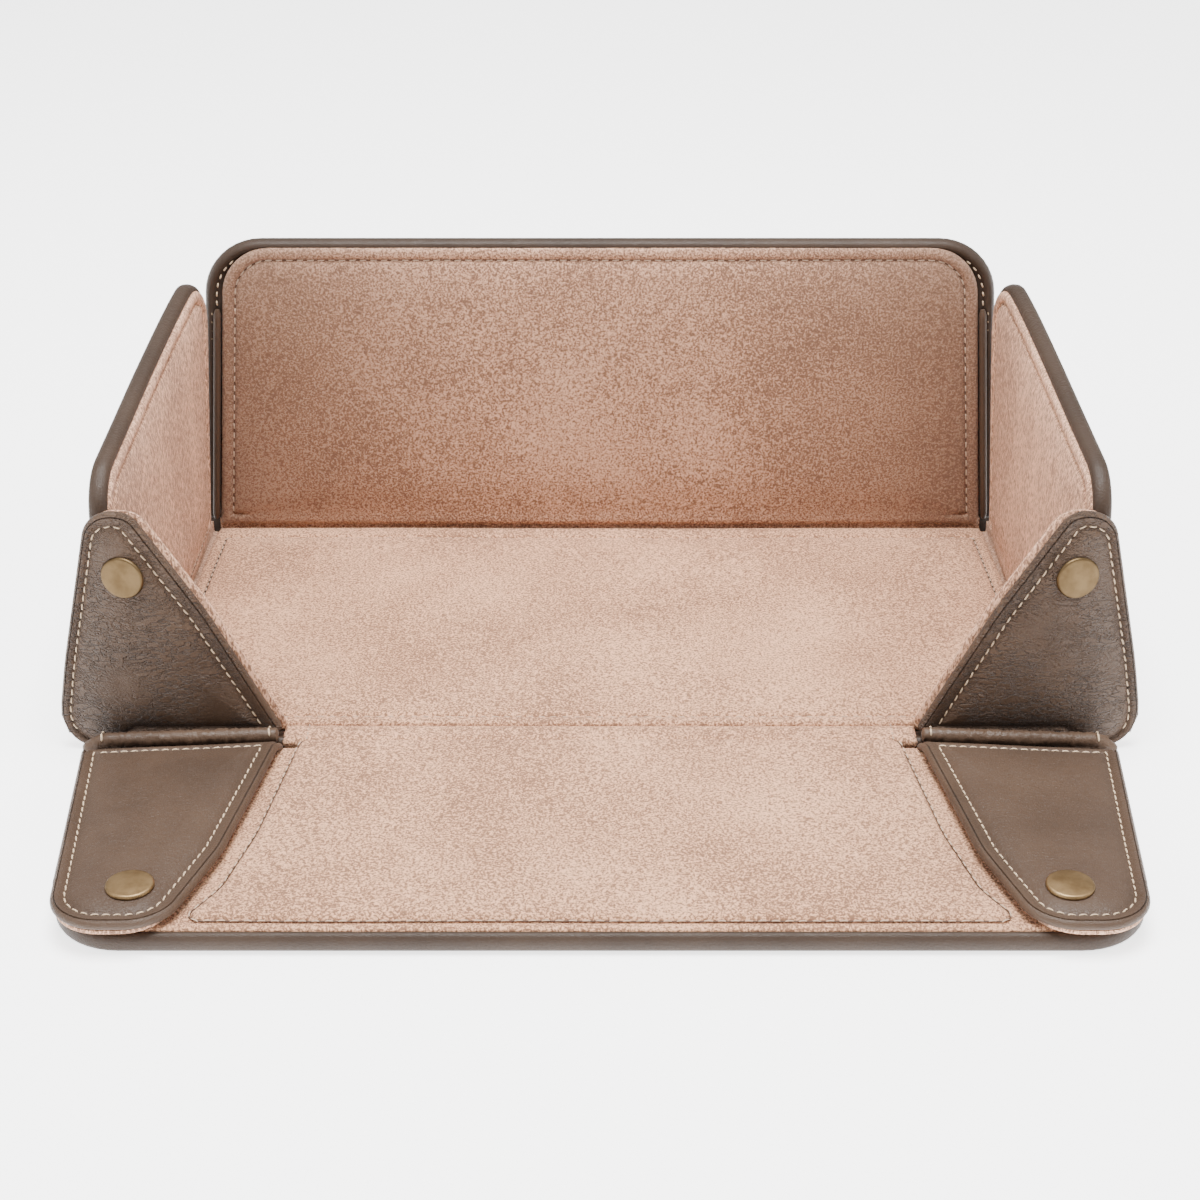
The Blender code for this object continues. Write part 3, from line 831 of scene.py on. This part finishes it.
def back_corners(taper, more=0.0):
    return four_corners(back_foot_half + more, back_foot_half - taper, HINGE_ROOM, BACK_HIGH,
                        TIGHT, BACK_ROUND)
wall_cover("back", back_corners(COVER_TAPER, 0.0010), "back_wall")
wall_pad("back", back_corners(BACK_TAPER), "back_wall", SUEDE_BACK,
         edge=[-0.0013, BACK_PAD_INSET, 0.0020, BACK_PAD_INSET],
         seam=[0.0022, 0.0073, 0.0056, 0.0073],
         shape=uneven(0.00022, 28, 1.7), foot_sewn=False)
print("back wall", round(back_foot_half * 2000), "mm wide at its foot")

# %% [markdown]
# ## The side walls
# The side walls aren't quite flat on the real tray. They lean in at the rear corner,
# where they meet the narrowing back wall, and open out towards the front. The flat panel
# is bent by a short formula, which moves the cover and its pad alike, and also the hidden
# board, whose corner would otherwise come out through the leather.

# %% Side walls
SIDE_REAR_GAP, SIDE_FORE_GAP = 0.0026, 0.0044
SIDE_REAR_HIGH, SIDE_FORE_HIGH = 0.0862, 0.0700
SIDE_REAR_ROUND, SIDE_FORE_ROUND = 0.013, 0.015
SIDE_PAD_EDGE = [-0.0013, 0.0016, 0.0022, 0.0012]
LEAN_IN, LEAN_REACH = 0.0024, 0.016  # at the rear top corner, and how far along it fades
OPEN_OUT = 0.0034  # at the front top corner
TUCK, TUCK_RISE, TUCK_HIGH, TUCK_REACH = 0.0020, 0.0028, 0.066, 0.03  # of the rear edge
BOARD_CUTS, BOARD_STRIP = 12, 0.01


def side_corners(sign):
    rear = SIDE_REAR_GAP - half_run
    fore = half_run - SIDE_FORE_GAP
    return [
        ((sign * rear, HINGE_ROOM), TIGHT),
        ((sign * fore, HINGE_ROOM), TIGHT),
        ((sign * fore, SIDE_FORE_HIGH), SIDE_FORE_ROUND),
        ((sign * rear, SIDE_REAR_HIGH), SIDE_REAR_ROUND),
    ]


def side_bend(sign):
    swell = uneven(0.00020, 30, 4.1 + sign)

    def shape(u, v, w):
        along = sign * u + half_run  # from the rear corner to the front
        rise = max(0.0, v / SIDE_REAR_HIGH) ** 1.25
        inward = (LEAN_IN * math.exp(-along / LEAN_REACH)
                  - OPEN_OUT * (along / half_run / 2) ** 1.3)
        u, v, w = swell(u, v, w)
        rear = (TUCK_RISE * min(1.0, v / TUCK_HIGH) - TUCK) * math.exp(-along / TUCK_REACH)
        return u, v, w + rise * inward + rear
    return shape


def bent_board(side_word, body, bend):
    """The CAD's stiffener, cut into strips and bent like the leather that hides it."""
    place = places[side_word]
    node = frame["nodes"][side_word + "_board"]
    work = bmesh.new()
    work.from_mesh(node.data)
    work.transform(node.matrix_world)
    for direction, first in ((place.u, -0.055), (place.v, 0.005)):
        for step in range(BOARD_CUTS):
            cut = place.origin + direction * (first + BOARD_STRIP * step)
            bmesh.ops.bisect_plane(work, geom=work.verts[:] + work.edges[:] + work.faces[:],
                                   plane_co=cut, plane_no=direction)
    for vert in work.verts:
        out = vert.co - place.origin
        vert.co = place.at(*bend(out.dot(place.u), out.dot(place.v), out.dot(place.w)))
    board = finish_piece(side_word + "_bent_board", work, BOARD, body)
    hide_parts(side_word + "_board")


side_bends = {}
for side_word, sign in SIDES.items():
    body = side_word + "_wall"
    corners = side_corners(sign)
    bend = side_bends[side_word] = side_bend(sign)
    wall_cover(side_word, corners, body, bend)
    bent_board(side_word, body, bend)
    wall_pad(side_word, corners, body, SUEDE_SIDE, SIDE_PAD_EDGE, plus(SIDE_PAD_EDGE, 0.0036),
             bend, foot_sewn=False)
print("side walls", round(SIDE_REAR_HIGH * 1000), "to", round(SIDE_FORE_HIGH * 1000), "mm high")

# %% [markdown]
# ## The floor
# The floor lining runs right up to the walls. Its sewn borders double as the soft hinges
# of the walls: a wide one along the back and a narrow one along each side.

# %% Floor
base_low, base_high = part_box("base_cover")
base_ends = [floor_half(y) - HINGE_ROOM for y in (base_low[1], base_high[1])]
wall_cover("base", four_corners(*base_ends, base_low[1], base_high[1], 0.003, 0.003), "base",
           on_table)
CHANNEL_BACK = wing_face + 0.0052  # where the floor's pad meets the front fold
CHANNEL_FRONT = wing_face - 0.0034
floor_corners = four_corners(floor_half(CHANNEL_BACK), floor_half(back_hinge.y), CHANNEL_BACK,
                             back_hinge.y, 0.004, 0.004)
wall_pad("base", floor_corners, "base", SUEDE_FLOOR,
         edge=[0.0002, 0.0007, 0.0005, 0.0007], seam=[0.0040, 0.0042, 0.0074, 0.0042],
         shape=uneven(0.00022, 24, 7.3), low=0.0020, top=0.0054, crown=0.0005, soft=0.0012)
print("floor pad dressed")

# %% [markdown]
# ## The front wall
# The front wall lies open on the table. Its middle is a raised pad whose sewn outline
# follows the corner wings, so it is drawn as a second, smaller pad on a thin margin.

# %% Front wall
front_foot_half = floor_half(wing_face) + 0.0095
FRONT_LONG = 0.0836
FRONT_TAPER = 0.006
FRONT_ROUND = 0.0175
front_corners = four_corners(front_foot_half, front_foot_half - FRONT_TAPER, FRONT_HINGE_ROOM,
                             FRONT_LONG, TIGHT, FRONT_ROUND)
wall_cover("front", front_corners, "front_wall", on_table)
front_place = places["front"]
front_swell = uneven(0.00022, 26, 9.9)
FOOT_REACH = 0.0058  # the suede runs on over the hinge, between the foot rolls
FOOT_HALF = 0.0835
FOOT_FADE = 0.012


def margin_shape(u, v, w):
    inside = 1.0 if abs(u) < FOOT_HALF else 0.0
    near = clamped(1 - (v - FRONT_HINGE_ROOM) / FOOT_FADE)
    return front_swell(u, v - FOOT_REACH * inside * near, w)


margin_layers = [
    (0.0026, 0.0032), (0.0021, 0.0040), (0.0022, 0.0048), (0.0026, 0.0053), (0.0033, 0.0055),
    (0.0042, 0.0054), (0.0051, 0.0048), (0.0060, 0.0050), (0.0090, 0.0051), (0.0200, 0.0049),
]
margin = ringed("front_suede_margin", front_place, front_corners, margin_layers, SUEDE_FLOOR,
                "front_wall", margin_shape)
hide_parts("front_lining")
front_pad_right = [((0.0780, -0.0024), 0.0030), ((0.0838, 0.0420), 0.06),
                   ((0.0893, 0.0655), 0.02), ((0.0966, 0.0783), 0.0025)]
front_pad_left = mirrored(front_pad_right, -1)
front_pad_corners = front_pad_left[:1] + front_pad_right + front_pad_left[:0:-1]
pad = ringed("front_suede_pad", front_place, front_pad_corners, [
    (0.0003, 0.0030), (0.0, 0.0044), (0.0001, 0.0052), (0.0004, 0.0057), (0.0010, 0.0061),
    (0.0020, 0.0063)], SUEDE_FLOOR, "front_wall", front_swell, crown=swelling(0.0063, 0.0003))
for row_name, first, last in (("front_seam_right", 1, 4), ("front_seam_near", 4, 5),
                              ("front_seam_left", 5, 0)):
    path = seam_path(front_place, front_pad_corners, -0.0002, 0.00535, front_swell, first, last)
    paths = path, [spot + front_place.w * 0.00024 for spot in path]
    suede_seam(row_name + "_cord", row_name, paths, front_place.w, "front_wall", 0.00022)
print("front wall", round(FRONT_LONG * 1000), "mm long")

# %% [markdown]
# ## The front fold
# Between the floor's pad and the front wall's pad lies the suede strip that the front
# folds on. It is a narrow pad of its own, with a cross seam near each end.

# %% Front fold
CHANNEL_HALF = 0.0834
CROSS_SEAM = 0.0768  # from the middle
fold_corners = four_corners(CHANNEL_HALF, CHANNEL_HALF, CHANNEL_FRONT, CHANNEL_BACK,
                            0.0012, 0.0012)
fold_pad = ringed("front_fold_suede", places["base"], fold_corners, [
    (0.0006, 0.0022), (0.0002, 0.0030), (0.0001, 0.0040), (0.0004, 0.0046), (0.0010, 0.0049),
    (0.0018, 0.0051), (0.0030, 0.0052), (0.0038, 0.0052)], SUEDE_FLOOR, "base",
    uneven(0.00018, 60, 2.2))
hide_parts("front_hinge_channel")
for side_word, sign in SIDES.items():
    near = Vector((sign * CROSS_SEAM, CHANNEL_FRONT, 0.00525))
    far = Vector((sign * CROSS_SEAM, CHANNEL_BACK, 0.00525))
    cross = [near.lerp(far, step / 6) for step in range(7)]
    stitch_row("front_fold_seam_" + side_word, cross, UP, "base", THREAD_TAN, kind="suede",
               length=0.0015, half=0.00016, pitch=0.0021)
print("front fold", round((CHANNEL_BACK - CHANNEL_FRONT) * 1000, 1), "mm wide")

# %% [markdown]
# ## Soft hinges
# Outside, a strip of leather wraps from the floor round to each wall. Inside, a strip of
# suede does the same in the crease. Both are centred on the hinge line, so that they
# keep their distance when the wall turns. Neither is attached to a moving part, so each
# stays where it is built.

# %% Hinge strips
OUTER_BEND = 0.0050
OUTER_SKIN = 0.0009
INNER_BEND = 0.0016
STRIP_STEPS = 12
STRIP_STEP = 0.006


def hinge_strip(name, ends, outward, bend, skin, lap, material, flat=False):
    """A strip that wraps round a hinge line, from under the floor to up the wall."""
    start, end = ends
    along = (end - start).normalized()
    outward = (outward - along * outward.dot(along)).normalized()
    shares = [step / STRIP_STEPS for step in range(STRIP_STEPS + 1)]
    profile = []
    for radius in (bend, bend - skin):
        if flat:
            row = [outward * (lap * 2 * share - lap) - UP * radius for share in shares]
        else:
            turns = [math.pi / 2 * share for share in shares]
            row = [outward * -lap - UP * radius,
                   *[outward * math.sin(turn) * radius - UP * math.cos(turn) * radius
                     for turn in turns],
                   outward * radius + UP * lap]
        profile.append(row)
    loop = profile[0] + profile[1][::-1]
    work = bmesh.new()
    count = max(2, round((end - start).length / STRIP_STEP))
    middles = [start.lerp(end, step / count) for step in range(count + 1)]
    skin_rings(work, [[work.verts.new(middle + offset) for offset in loop] for middle in middles])
    strip = finish_piece(name, work, material, None, smooth=45)
    return strip


def soft_hinge(prefix, outer_ends, inner_ends, outward):
    """The leather outside and the suede in the crease of a wall, where it meets the floor."""
    # The outer strip wears the darker copy of the leather: painted shade.
    outer = hinge_strip(prefix + "_hinge_leather", outer_ends, outward, OUTER_BEND,
                        OUTER_SKIN, 0.0040, LEATHER_SHADED)
    inner = hinge_strip(prefix + "_crease_suede", inner_ends, outward, INNER_BEND,
                        0.0010, 0.0030, SUEDE_ROLL)
    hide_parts(prefix + "_hinge_channel")
    for strip, reach in ((outer, 0.0026), (inner, 0.0009)):
        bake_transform(strip)


def crosswise(half, y):
    return [Vector((x * half, y, HINGE_HEIGHT)) for x in (-1, 1)]


back_half = floor_half(back_hinge.y)
soft_hinge("back", crosswise(back_half + 0.0028, back_hinge.y),
           crosswise(back_half - 0.001, back_hinge.y), Vector((0, 1, 0)))
for side_word, sign in SIDES.items():
    inward = places[side_word].w
    outward = Vector((-inward.x, -inward.y, 0)).normalized()
    ends = [Vector((sign * floor_half(y), y, HINGE_HEIGHT))
            for y in (wing_face + 0.008, back_hinge.y - 0.002)]
    soft_hinge(side_word, ends, ends, outward)
front_gap = (base_low[1] - front_hinge.y) / 2  # half of the gap between floor and front wall
# The front strip wears the darker copy of the leather: painted shade.
strip = hinge_strip("front_hinge_leather",
                    crosswise(0.1316, (front_hinge.y + base_low[1]) / 2), Vector((0, -1, 0)),
                    OUTER_BEND - 0.0002, OUTER_SKIN, front_gap + 0.0045, LEATHER_SHADED, flat=True)
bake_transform(strip)
print("hinge strips: 4 of leather, 3 of suede")

# %% [markdown]
# ## Rear corners
# Where the back wall's suede stops, a dark leather welt runs up each end of the wall.
# Its cream stitches go on above it along the rim, round the corner.

# %% Rear corner welts
WELT_FOOT, WELT_TOP = 0.0030, 0.0715
WELT_STEPS = 40
RIM_STITCH = {"length": 0.0017, "half": 0.00022}
back_place = places["back"]


def welt_line(sign, beyond, depth):
    """Points up the back wall, at a distance beyond the edge of its suede."""
    path = []
    for step in range(WELT_STEPS + 1):
        v = WELT_FOOT + (WELT_TOP - WELT_FOOT) * step / WELT_STEPS
        share = (v - HINGE_ROOM) / (BACK_HIGH - HINGE_ROOM)
        edge = back_foot_half - BACK_TAPER * share - BACK_PAD_INSET
        path.append(back_place.at(sign * (edge + beyond), v, depth))
    return path


rim = seam_path(back_place, back_corners(COVER_TAPER), [0.0033] * 4, 0.0041, None, 1, 0)
rim = [spot for spot in rim if HINGE_HEIGHT + WELT_TOP < spot.z < 0.0925]
for side_word, sign in SIDES.items():
    roll = welt("back_welt_" + side_word, welt_line(sign, 0.0016, 0.0047), 0.00118, LEATHER,
                "back_wall", across=back_place.w)
    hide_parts("back_corner_roll_" + side_word)
    stitch_row("back_welt_stitches_" + side_word, welt_line(sign, 0.0033, 0.0045), back_place.w,
               "back_wall", THREAD_CREAM, pitch=0.0026, **RIM_STITCH)
    arc = [spot for spot in rim if spot.x * sign > 0]
    stitch_row("back_rim_stitches_" + side_word, arc, back_place.w, "back_wall", THREAD_CREAM,
               pitch=0.0028, **RIM_STITCH)
print("rear corner welts:", 2)

# %% [markdown]
# ## Corner wings
# A wing is a limp, unboarded flap: leather outside, suede inside, sewn all round, with
# a snap at its free corner. The sewn line pulls the leather down, so the flap is gently
# puffed between its seams, and the folded edge outside them stands as a soft rim with a
# fine crease along it. Both wings of a side share this recipe and differ in outline.

# %% Wing maker
SEAM_RINGS = [(0.0020, -0.0005), (0.0011, -0.0001), (0.0005, 0.0003), (0.0, 0.0006)]
RIM_RINGS = [  # as shares of the way from the edge in to the stitches
    (0.86, 0.0003), (0.68, -0.0001), (0.48, -0.0003), (0.34, -0.00035), (0.29, 0.0003),
    (0.24, -0.00025), (0.13, -0.00005), (0.04, 0.0003), (0.0, 0.0008), (0.0, 0.0013),
]
BACK_RINGS = [(0.0003, 0.0018), (0.0009, 0.0020), (0.0040, 0.0021)]
SAG_START, SAG_RUN, SAG_HIGH = 0.1215, 0.007, 0.024  # where a wing's foot hangs down
LINING_RINGS = [(0.0008, 0.0020), (0.0, 0.0023), (-0.0001, 0.0028), (0.0002, 0.0034),
                (0.0009, 0.0037), (0.0030, 0.0037)]


def wing(label, corners, seam, lining, shape, leather_finish, foot_sewn=True):
    """Leather, suede lining and stitches of one wing; seam is each side's to its stitches."""
    place = places[label]
    layers = [(plus(seam, more), depth) for more, depth in SEAM_RINGS]
    layers += [([distance * share for distance in seam], depth) for share, depth in RIM_RINGS]
    shell = ringed(label + "_leather", place, corners, layers + BACK_RINGS, leather_finish, label,
                   shape, middle=swelling(-0.0005, -0.0007, 0.45)[::-1])
    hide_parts(label + "_cover")
    layers = [(plus(lining, more), depth) for more, depth in LINING_RINGS]
    back = ringed(label + "_suede", place, corners, layers, SUEDE_SIDE, label, shape)
    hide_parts(label + "_lining")
    first = last = None
    if not foot_sewn:
        turned = corners[0][0][0] > corners[1][0][0]
        first, last = (len(corners) - 1, len(corners) - 2) if turned else (1, 0)
    path = seam_path(place, corners, seam, 0.00035, shape, first, last)
    stitch_row(label + "_stitches", path, -place.w, label, THREAD_CREAM)


def soft_bulge(label, start, push, swell, scale, sag=0.0):
    """Push the outboard edge back round the corner, let its foot sag and add small swells."""
    seed = 3.3 + len(label)

    def shape(u, v, w):
        extra = max(0.0, abs(u) - start)
        v -= sag * eased(clamped((abs(u) - SAG_START) / SAG_RUN) * clamped(1 - v / SAG_HIGH))
        ripple = swell * noise.noise(Vector((u * scale, v * scale, seed)))
        return u, v, w + push * extra * extra + ripple
    return shape


# %% [markdown]
# ## Standing wings
# The wing of a side wall stands across the tray's front corner. Its outboard edge wraps
# back round the corner towards the wall that it is sewn to.

# %% Standing wings
STAND_FOOT_OUT, STAND_HEAD_OUT, STAND_HIGH = 0.1438, 0.1292, 0.0641
STAND_ROUND = 0.0085
stand_outline = [
    ((0.0829, 0.0005), 0.0012), ((STAND_FOOT_OUT, 0.0005), STAND_ROUND),
    ((STAND_HEAD_OUT, STAND_HIGH), STAND_ROUND), ((0.1180, STAND_HIGH), 0.0068),
    ((0.1010, 0.0364), 0.060),
]
stand_seams = [0.0016, 0.0027, 0.0040, 0.0045, 0.0045]
stand_lining = [0.0008, 0.0014, 0.0004, -0.0013, -0.0013]
stand_shapes = {}
for side_word, sign in SIDES.items():
    label = side_word + "_wing"
    stand_shapes[side_word] = soft_bulge(label, 0.116, 3.5, 0.00035, 34, sag=0.0050)
    # The standing wings wear the lighter leather copy: painted light in the tone, real grain in
    # the pebble and folds.
    wing(label, mirrored(stand_outline, -sign), stand_seams, stand_lining,
         stand_shapes[side_word], LEATHER_WING_LIGHTENED, foot_sewn=False)
print("standing wings:", 2)

# %% [markdown]
# ## Lying wings
# The wing of the front wall lies folded flat on its lining. A half-round leather edge
# joins it to the front wall along its outboard side, where it folds open.

# %% Lying wings
LAID_FOOT_OUT, LAID_HEAD_OUT = 0.1333, 0.1265
LAID_FOOT, LAID_HEAD = 0.0052, 0.0849
LAID_DIP = 0.0024  # of the foot, towards the front wall
laid_outline = [
    ((0.0821, 0.0006), 0.0012), ((LAID_FOOT_OUT, LAID_FOOT), 0.0012),
    ((LAID_HEAD_OUT, LAID_HEAD), 0.0130), ((0.0998, LAID_HEAD), 0.0125), ((0.0903, 0.0540), 0.045),
]
laid_seams = [0.0048, 0.0033, 0.0042, 0.0042, 0.0042]
laid_lining = [0.0006, 0.0008, 0.0006, 0.0022, 0.0022]
for side_word, sign in SIDES.items():
    label = "front_wing_" + side_word
    swell = soft_bulge(label, 0.5, 0.0, 0.00025, 40)

    def shape(u, v, w, swell=swell):
        foot = 0.0046 + 0.0046 * (abs(u) - 0.0824) / 0.0509
        return swell(u, v, w + LAID_DIP * eased(clamped((foot + 0.0002 - v) / 0.0036)))
    wing(label, mirrored(laid_outline, sign), laid_seams, laid_lining, shape, LEATHER)
print("lying wings:", 2)

# %% [markdown]
# ## Corner skins
# The leather of a side wall runs on round the front corner into its standing wing, and
# that of the front wall runs round the edge into its lying wing. Neither skin is attached
# to a moving part, so each stays where it is built.

# %% Corner skins
SKIN = 0.0009
SKIN_STEPS = 10
RAILS, EDGE_RAILS = 13, 19
STAND_SKIN_FOOT = 0.0012


def bowed(steer, t):
    """A point on the curve that four points steer."""
    a, b, c, d = steer
    return a * (1 - t) ** 3 + b * (3 * t * (1 - t) ** 2) + c * (3 * t * t * (1 - t)) + d * t ** 3


def corner_skin(name, rails, material):
    """A thin sheet of leather through a row of curves."""
    work = bmesh.new()
    rows = [[work.verts.new(bowed(rail, step / SKIN_STEPS)) for step in range(SKIN_STEPS + 1)]
            for rail in rails]
    for low, high in zip(rows, rows[1:]):
        for i in range(SKIN_STEPS):
            work.faces.new((low[i], low[i + 1], high[i + 1], high[i]))
    bmesh.ops.recalc_face_normals(work, faces=work.faces[:])
    bmesh.ops.solidify(work, geom=work.faces[:], thickness=SKIN)
    sheet = finish_piece(name, work, material, None, smooth=60)
    return sheet


# Both skins wear the darker copy of the leather: painted shade.
for side_word, sign in SIDES.items():
    wall_at, wing_at = places[side_word].at, places[side_word + "_wing"].at
    bend, shape = side_bends[side_word], stand_shapes[side_word]
    fore = half_run - SIDE_FORE_GAP
    rails = []
    for step in range(RAILS):
        v = 0.0034 + 0.0526 * step / (RAILS - 1)
        rise = v - STAND_SKIN_FOOT
        low = max(0.0, STAND_ROUND - rise)  # how far down into the round corner
        edge = (STAND_FOOT_OUT
                - (STAND_FOOT_OUT - STAND_HEAD_OUT) * rise / (STAND_HIGH - STAND_SKIN_FOOT)
                - (STAND_ROUND - math.sqrt(STAND_ROUND ** 2 - low ** 2)))
        rails.append([
            wall_at(*bend(sign * (fore - 0.0065), v, -0.0004)),
            wall_at(*bend(sign * (fore + 0.0008), v, -0.0012)),
            wing_at(*shape(-sign * edge, v, 0.0036)),
            wing_at(*shape(-sign * (edge - 0.0002), v, 0.0009)),
        ])
    sheet = corner_skin(side_word + "_corner_skin", rails, LEATHER_SHADED)
    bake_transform(sheet)
    rails = []
    for step in range(EDGE_RAILS):
        v = 0.0080 + 0.0570 * step / (EDGE_RAILS - 1)
        share = (v - FRONT_HINGE_ROOM) / (FRONT_LONG - FRONT_HINGE_ROOM)
        under = front_foot_half - FRONT_TAPER * share
        share = (v - LAID_FOOT) / (LAID_HEAD - LAID_FOOT)
        over = LAID_FOOT_OUT - (LAID_FOOT_OUT - LAID_HEAD_OUT) * share
        rails.append([
            front_place.at(-sign * half, v, height)
            for half, height in ((under - 0.0004, 0.0008), (under + 0.0012, 0.0018),
                                 (over + 0.0012, laid_top - 0.0010),
                                 (over - 0.0006, laid_top - 0.0002))
        ])
    sheet = corner_skin("front_edge_skin_" + side_word, rails, LEATHER_SHADED)
    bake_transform(sheet)
print("corner skins:", 4)

# %% [markdown]
# ## Rolls at the feet of the wings
# A bunched leather roll closes the gap under each standing wing: the front wall's spare
# leather, gathered when the corner was sewn. Fine wrinkles run across it.

# %% Foot rolls
ROLL_RADIUS = 0.0020
ROLL_HEIGHT = 0.0062
ROLL_TURN = 0.90  # the share of its length after which a roll dips out of sight
ROLL_STEPS = 100
for side_word, sign in SIDES.items():
    inner = Vector((sign * 0.0842, -0.0651, ROLL_HEIGHT))
    outer = Vector((sign * 0.1330, -0.0681, ROLL_HEIGHT))
    path = []
    for step in range(ROLL_STEPS + 1):
        t = step / ROLL_STEPS
        drop = max(0.0, t - ROLL_TURN) / (1 - ROLL_TURN)
        path.append(inner.lerp(outer, t) + Vector((sign * 0.0012 * drop, 0, -0.0036 * drop ** 2)))
    roll = welt("front_foot_roll_" + side_word, path, ROLL_RADIUS, LEATHER_ROLL, "base", sides=20,
                across=UP, wrinkle=0.00036)
    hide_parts("front_hinge_roll_" + side_word)
    for order, share in (("inner", 0.045), ("outer", 0.93)):
        spot = inner.lerp(outer, share)
        turns = [math.radians(20 + 140 * step / 8) for step in range(9)]
        across = [spot + Vector((0, -math.cos(turn), math.sin(turn))) * (ROLL_RADIUS + 0.00005)
                  for turn in turns]
        stitch_row("foot_roll_" + order + "_stitch_" + side_word, across,
                   Vector((0, -0.3, 1)).normalized(), "base", THREAD_CREAM, length=0.0024,
                   half=0.00024)
print("foot rolls:", 2)

# %% [markdown]
# ## Snap caps
# A cap is a thin brass disc, slightly domed, with a rolled rim that sits in a dimple of
# the leather. It is turned from a profile, as the real one is pressed from sheet.

# %% Snap caps
CAP_RADIUS = 0.00575
CAP_PROFILE = [
    (0.0, 0.00165), (0.25, 0.00163), (0.5, 0.00157), (0.72, 0.00147), (0.84, 0.00138),
    (0.90, 0.00137), (0.95, 0.00128), (0.985, 0.00105), (1.0, 0.00070), (0.99, 0.00035),
    (0.95, 0.00010), (0.90, -0.00010),
]
CAP_STEPS = 64
CAP_TURN = math.radians(12)  # of the standing caps, towards the outside
STAND_CAP_OUT, STAND_CAP_HIGH = 0.1208, 0.0517
LAID_CAP_OUT, LAID_CAP_ALONG = 0.1092, 0.0710


def snap_cap(name, node, centre, facing, body, finish):
    facing = facing.normalized()
    across = facing.orthogonal().normalized()
    up = facing.cross(across)
    work = bmesh.new()
    rings = []
    for share, height in CAP_PROFILE[1:]:
        ring = []
        for step in range(CAP_STEPS):
            angle = 2 * math.pi * step / CAP_STEPS
            spot = across * math.cos(angle) + up * math.sin(angle)
            ring.append(work.verts.new(centre + spot * CAP_RADIUS * share + facing * height))
        rings.append(ring)
    top = work.verts.new(centre + facing * CAP_PROFILE[0][1])
    for i in range(CAP_STEPS):
        work.faces.new((top, rings[0][i - 1], rings[0][i]))
    skin_rings(work, rings, capped=False)
    work.faces.new(rings[-1])
    cap = finish_piece(name, work, finish, body, smooth=60)
    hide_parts(node)


# Standing caps wear the darker brass copy, painted shade; lying caps wear the brighter one,
# painted light.
for side_word, sign in SIDES.items():
    label = side_word + "_wing"
    turned = Vector((sign * math.sin(CAP_TURN), -math.cos(CAP_TURN), 0))
    snap_cap(label + "_cap", label + "_snap_cap",
             Vector((sign * STAND_CAP_OUT, wing_face - 0.0006, STAND_CAP_HIGH)), turned, label,
             BRASS)
    label = "front_wing_" + side_word
    snap_cap(label + "_cap", label + "_snap_cap",
             Vector((sign * LAID_CAP_OUT, front_hinge.y - LAID_CAP_ALONG, laid_top + 0.0005)),
             UP, label, BRASS_PAINTED_LIGHT)
print("snap caps:", 4)
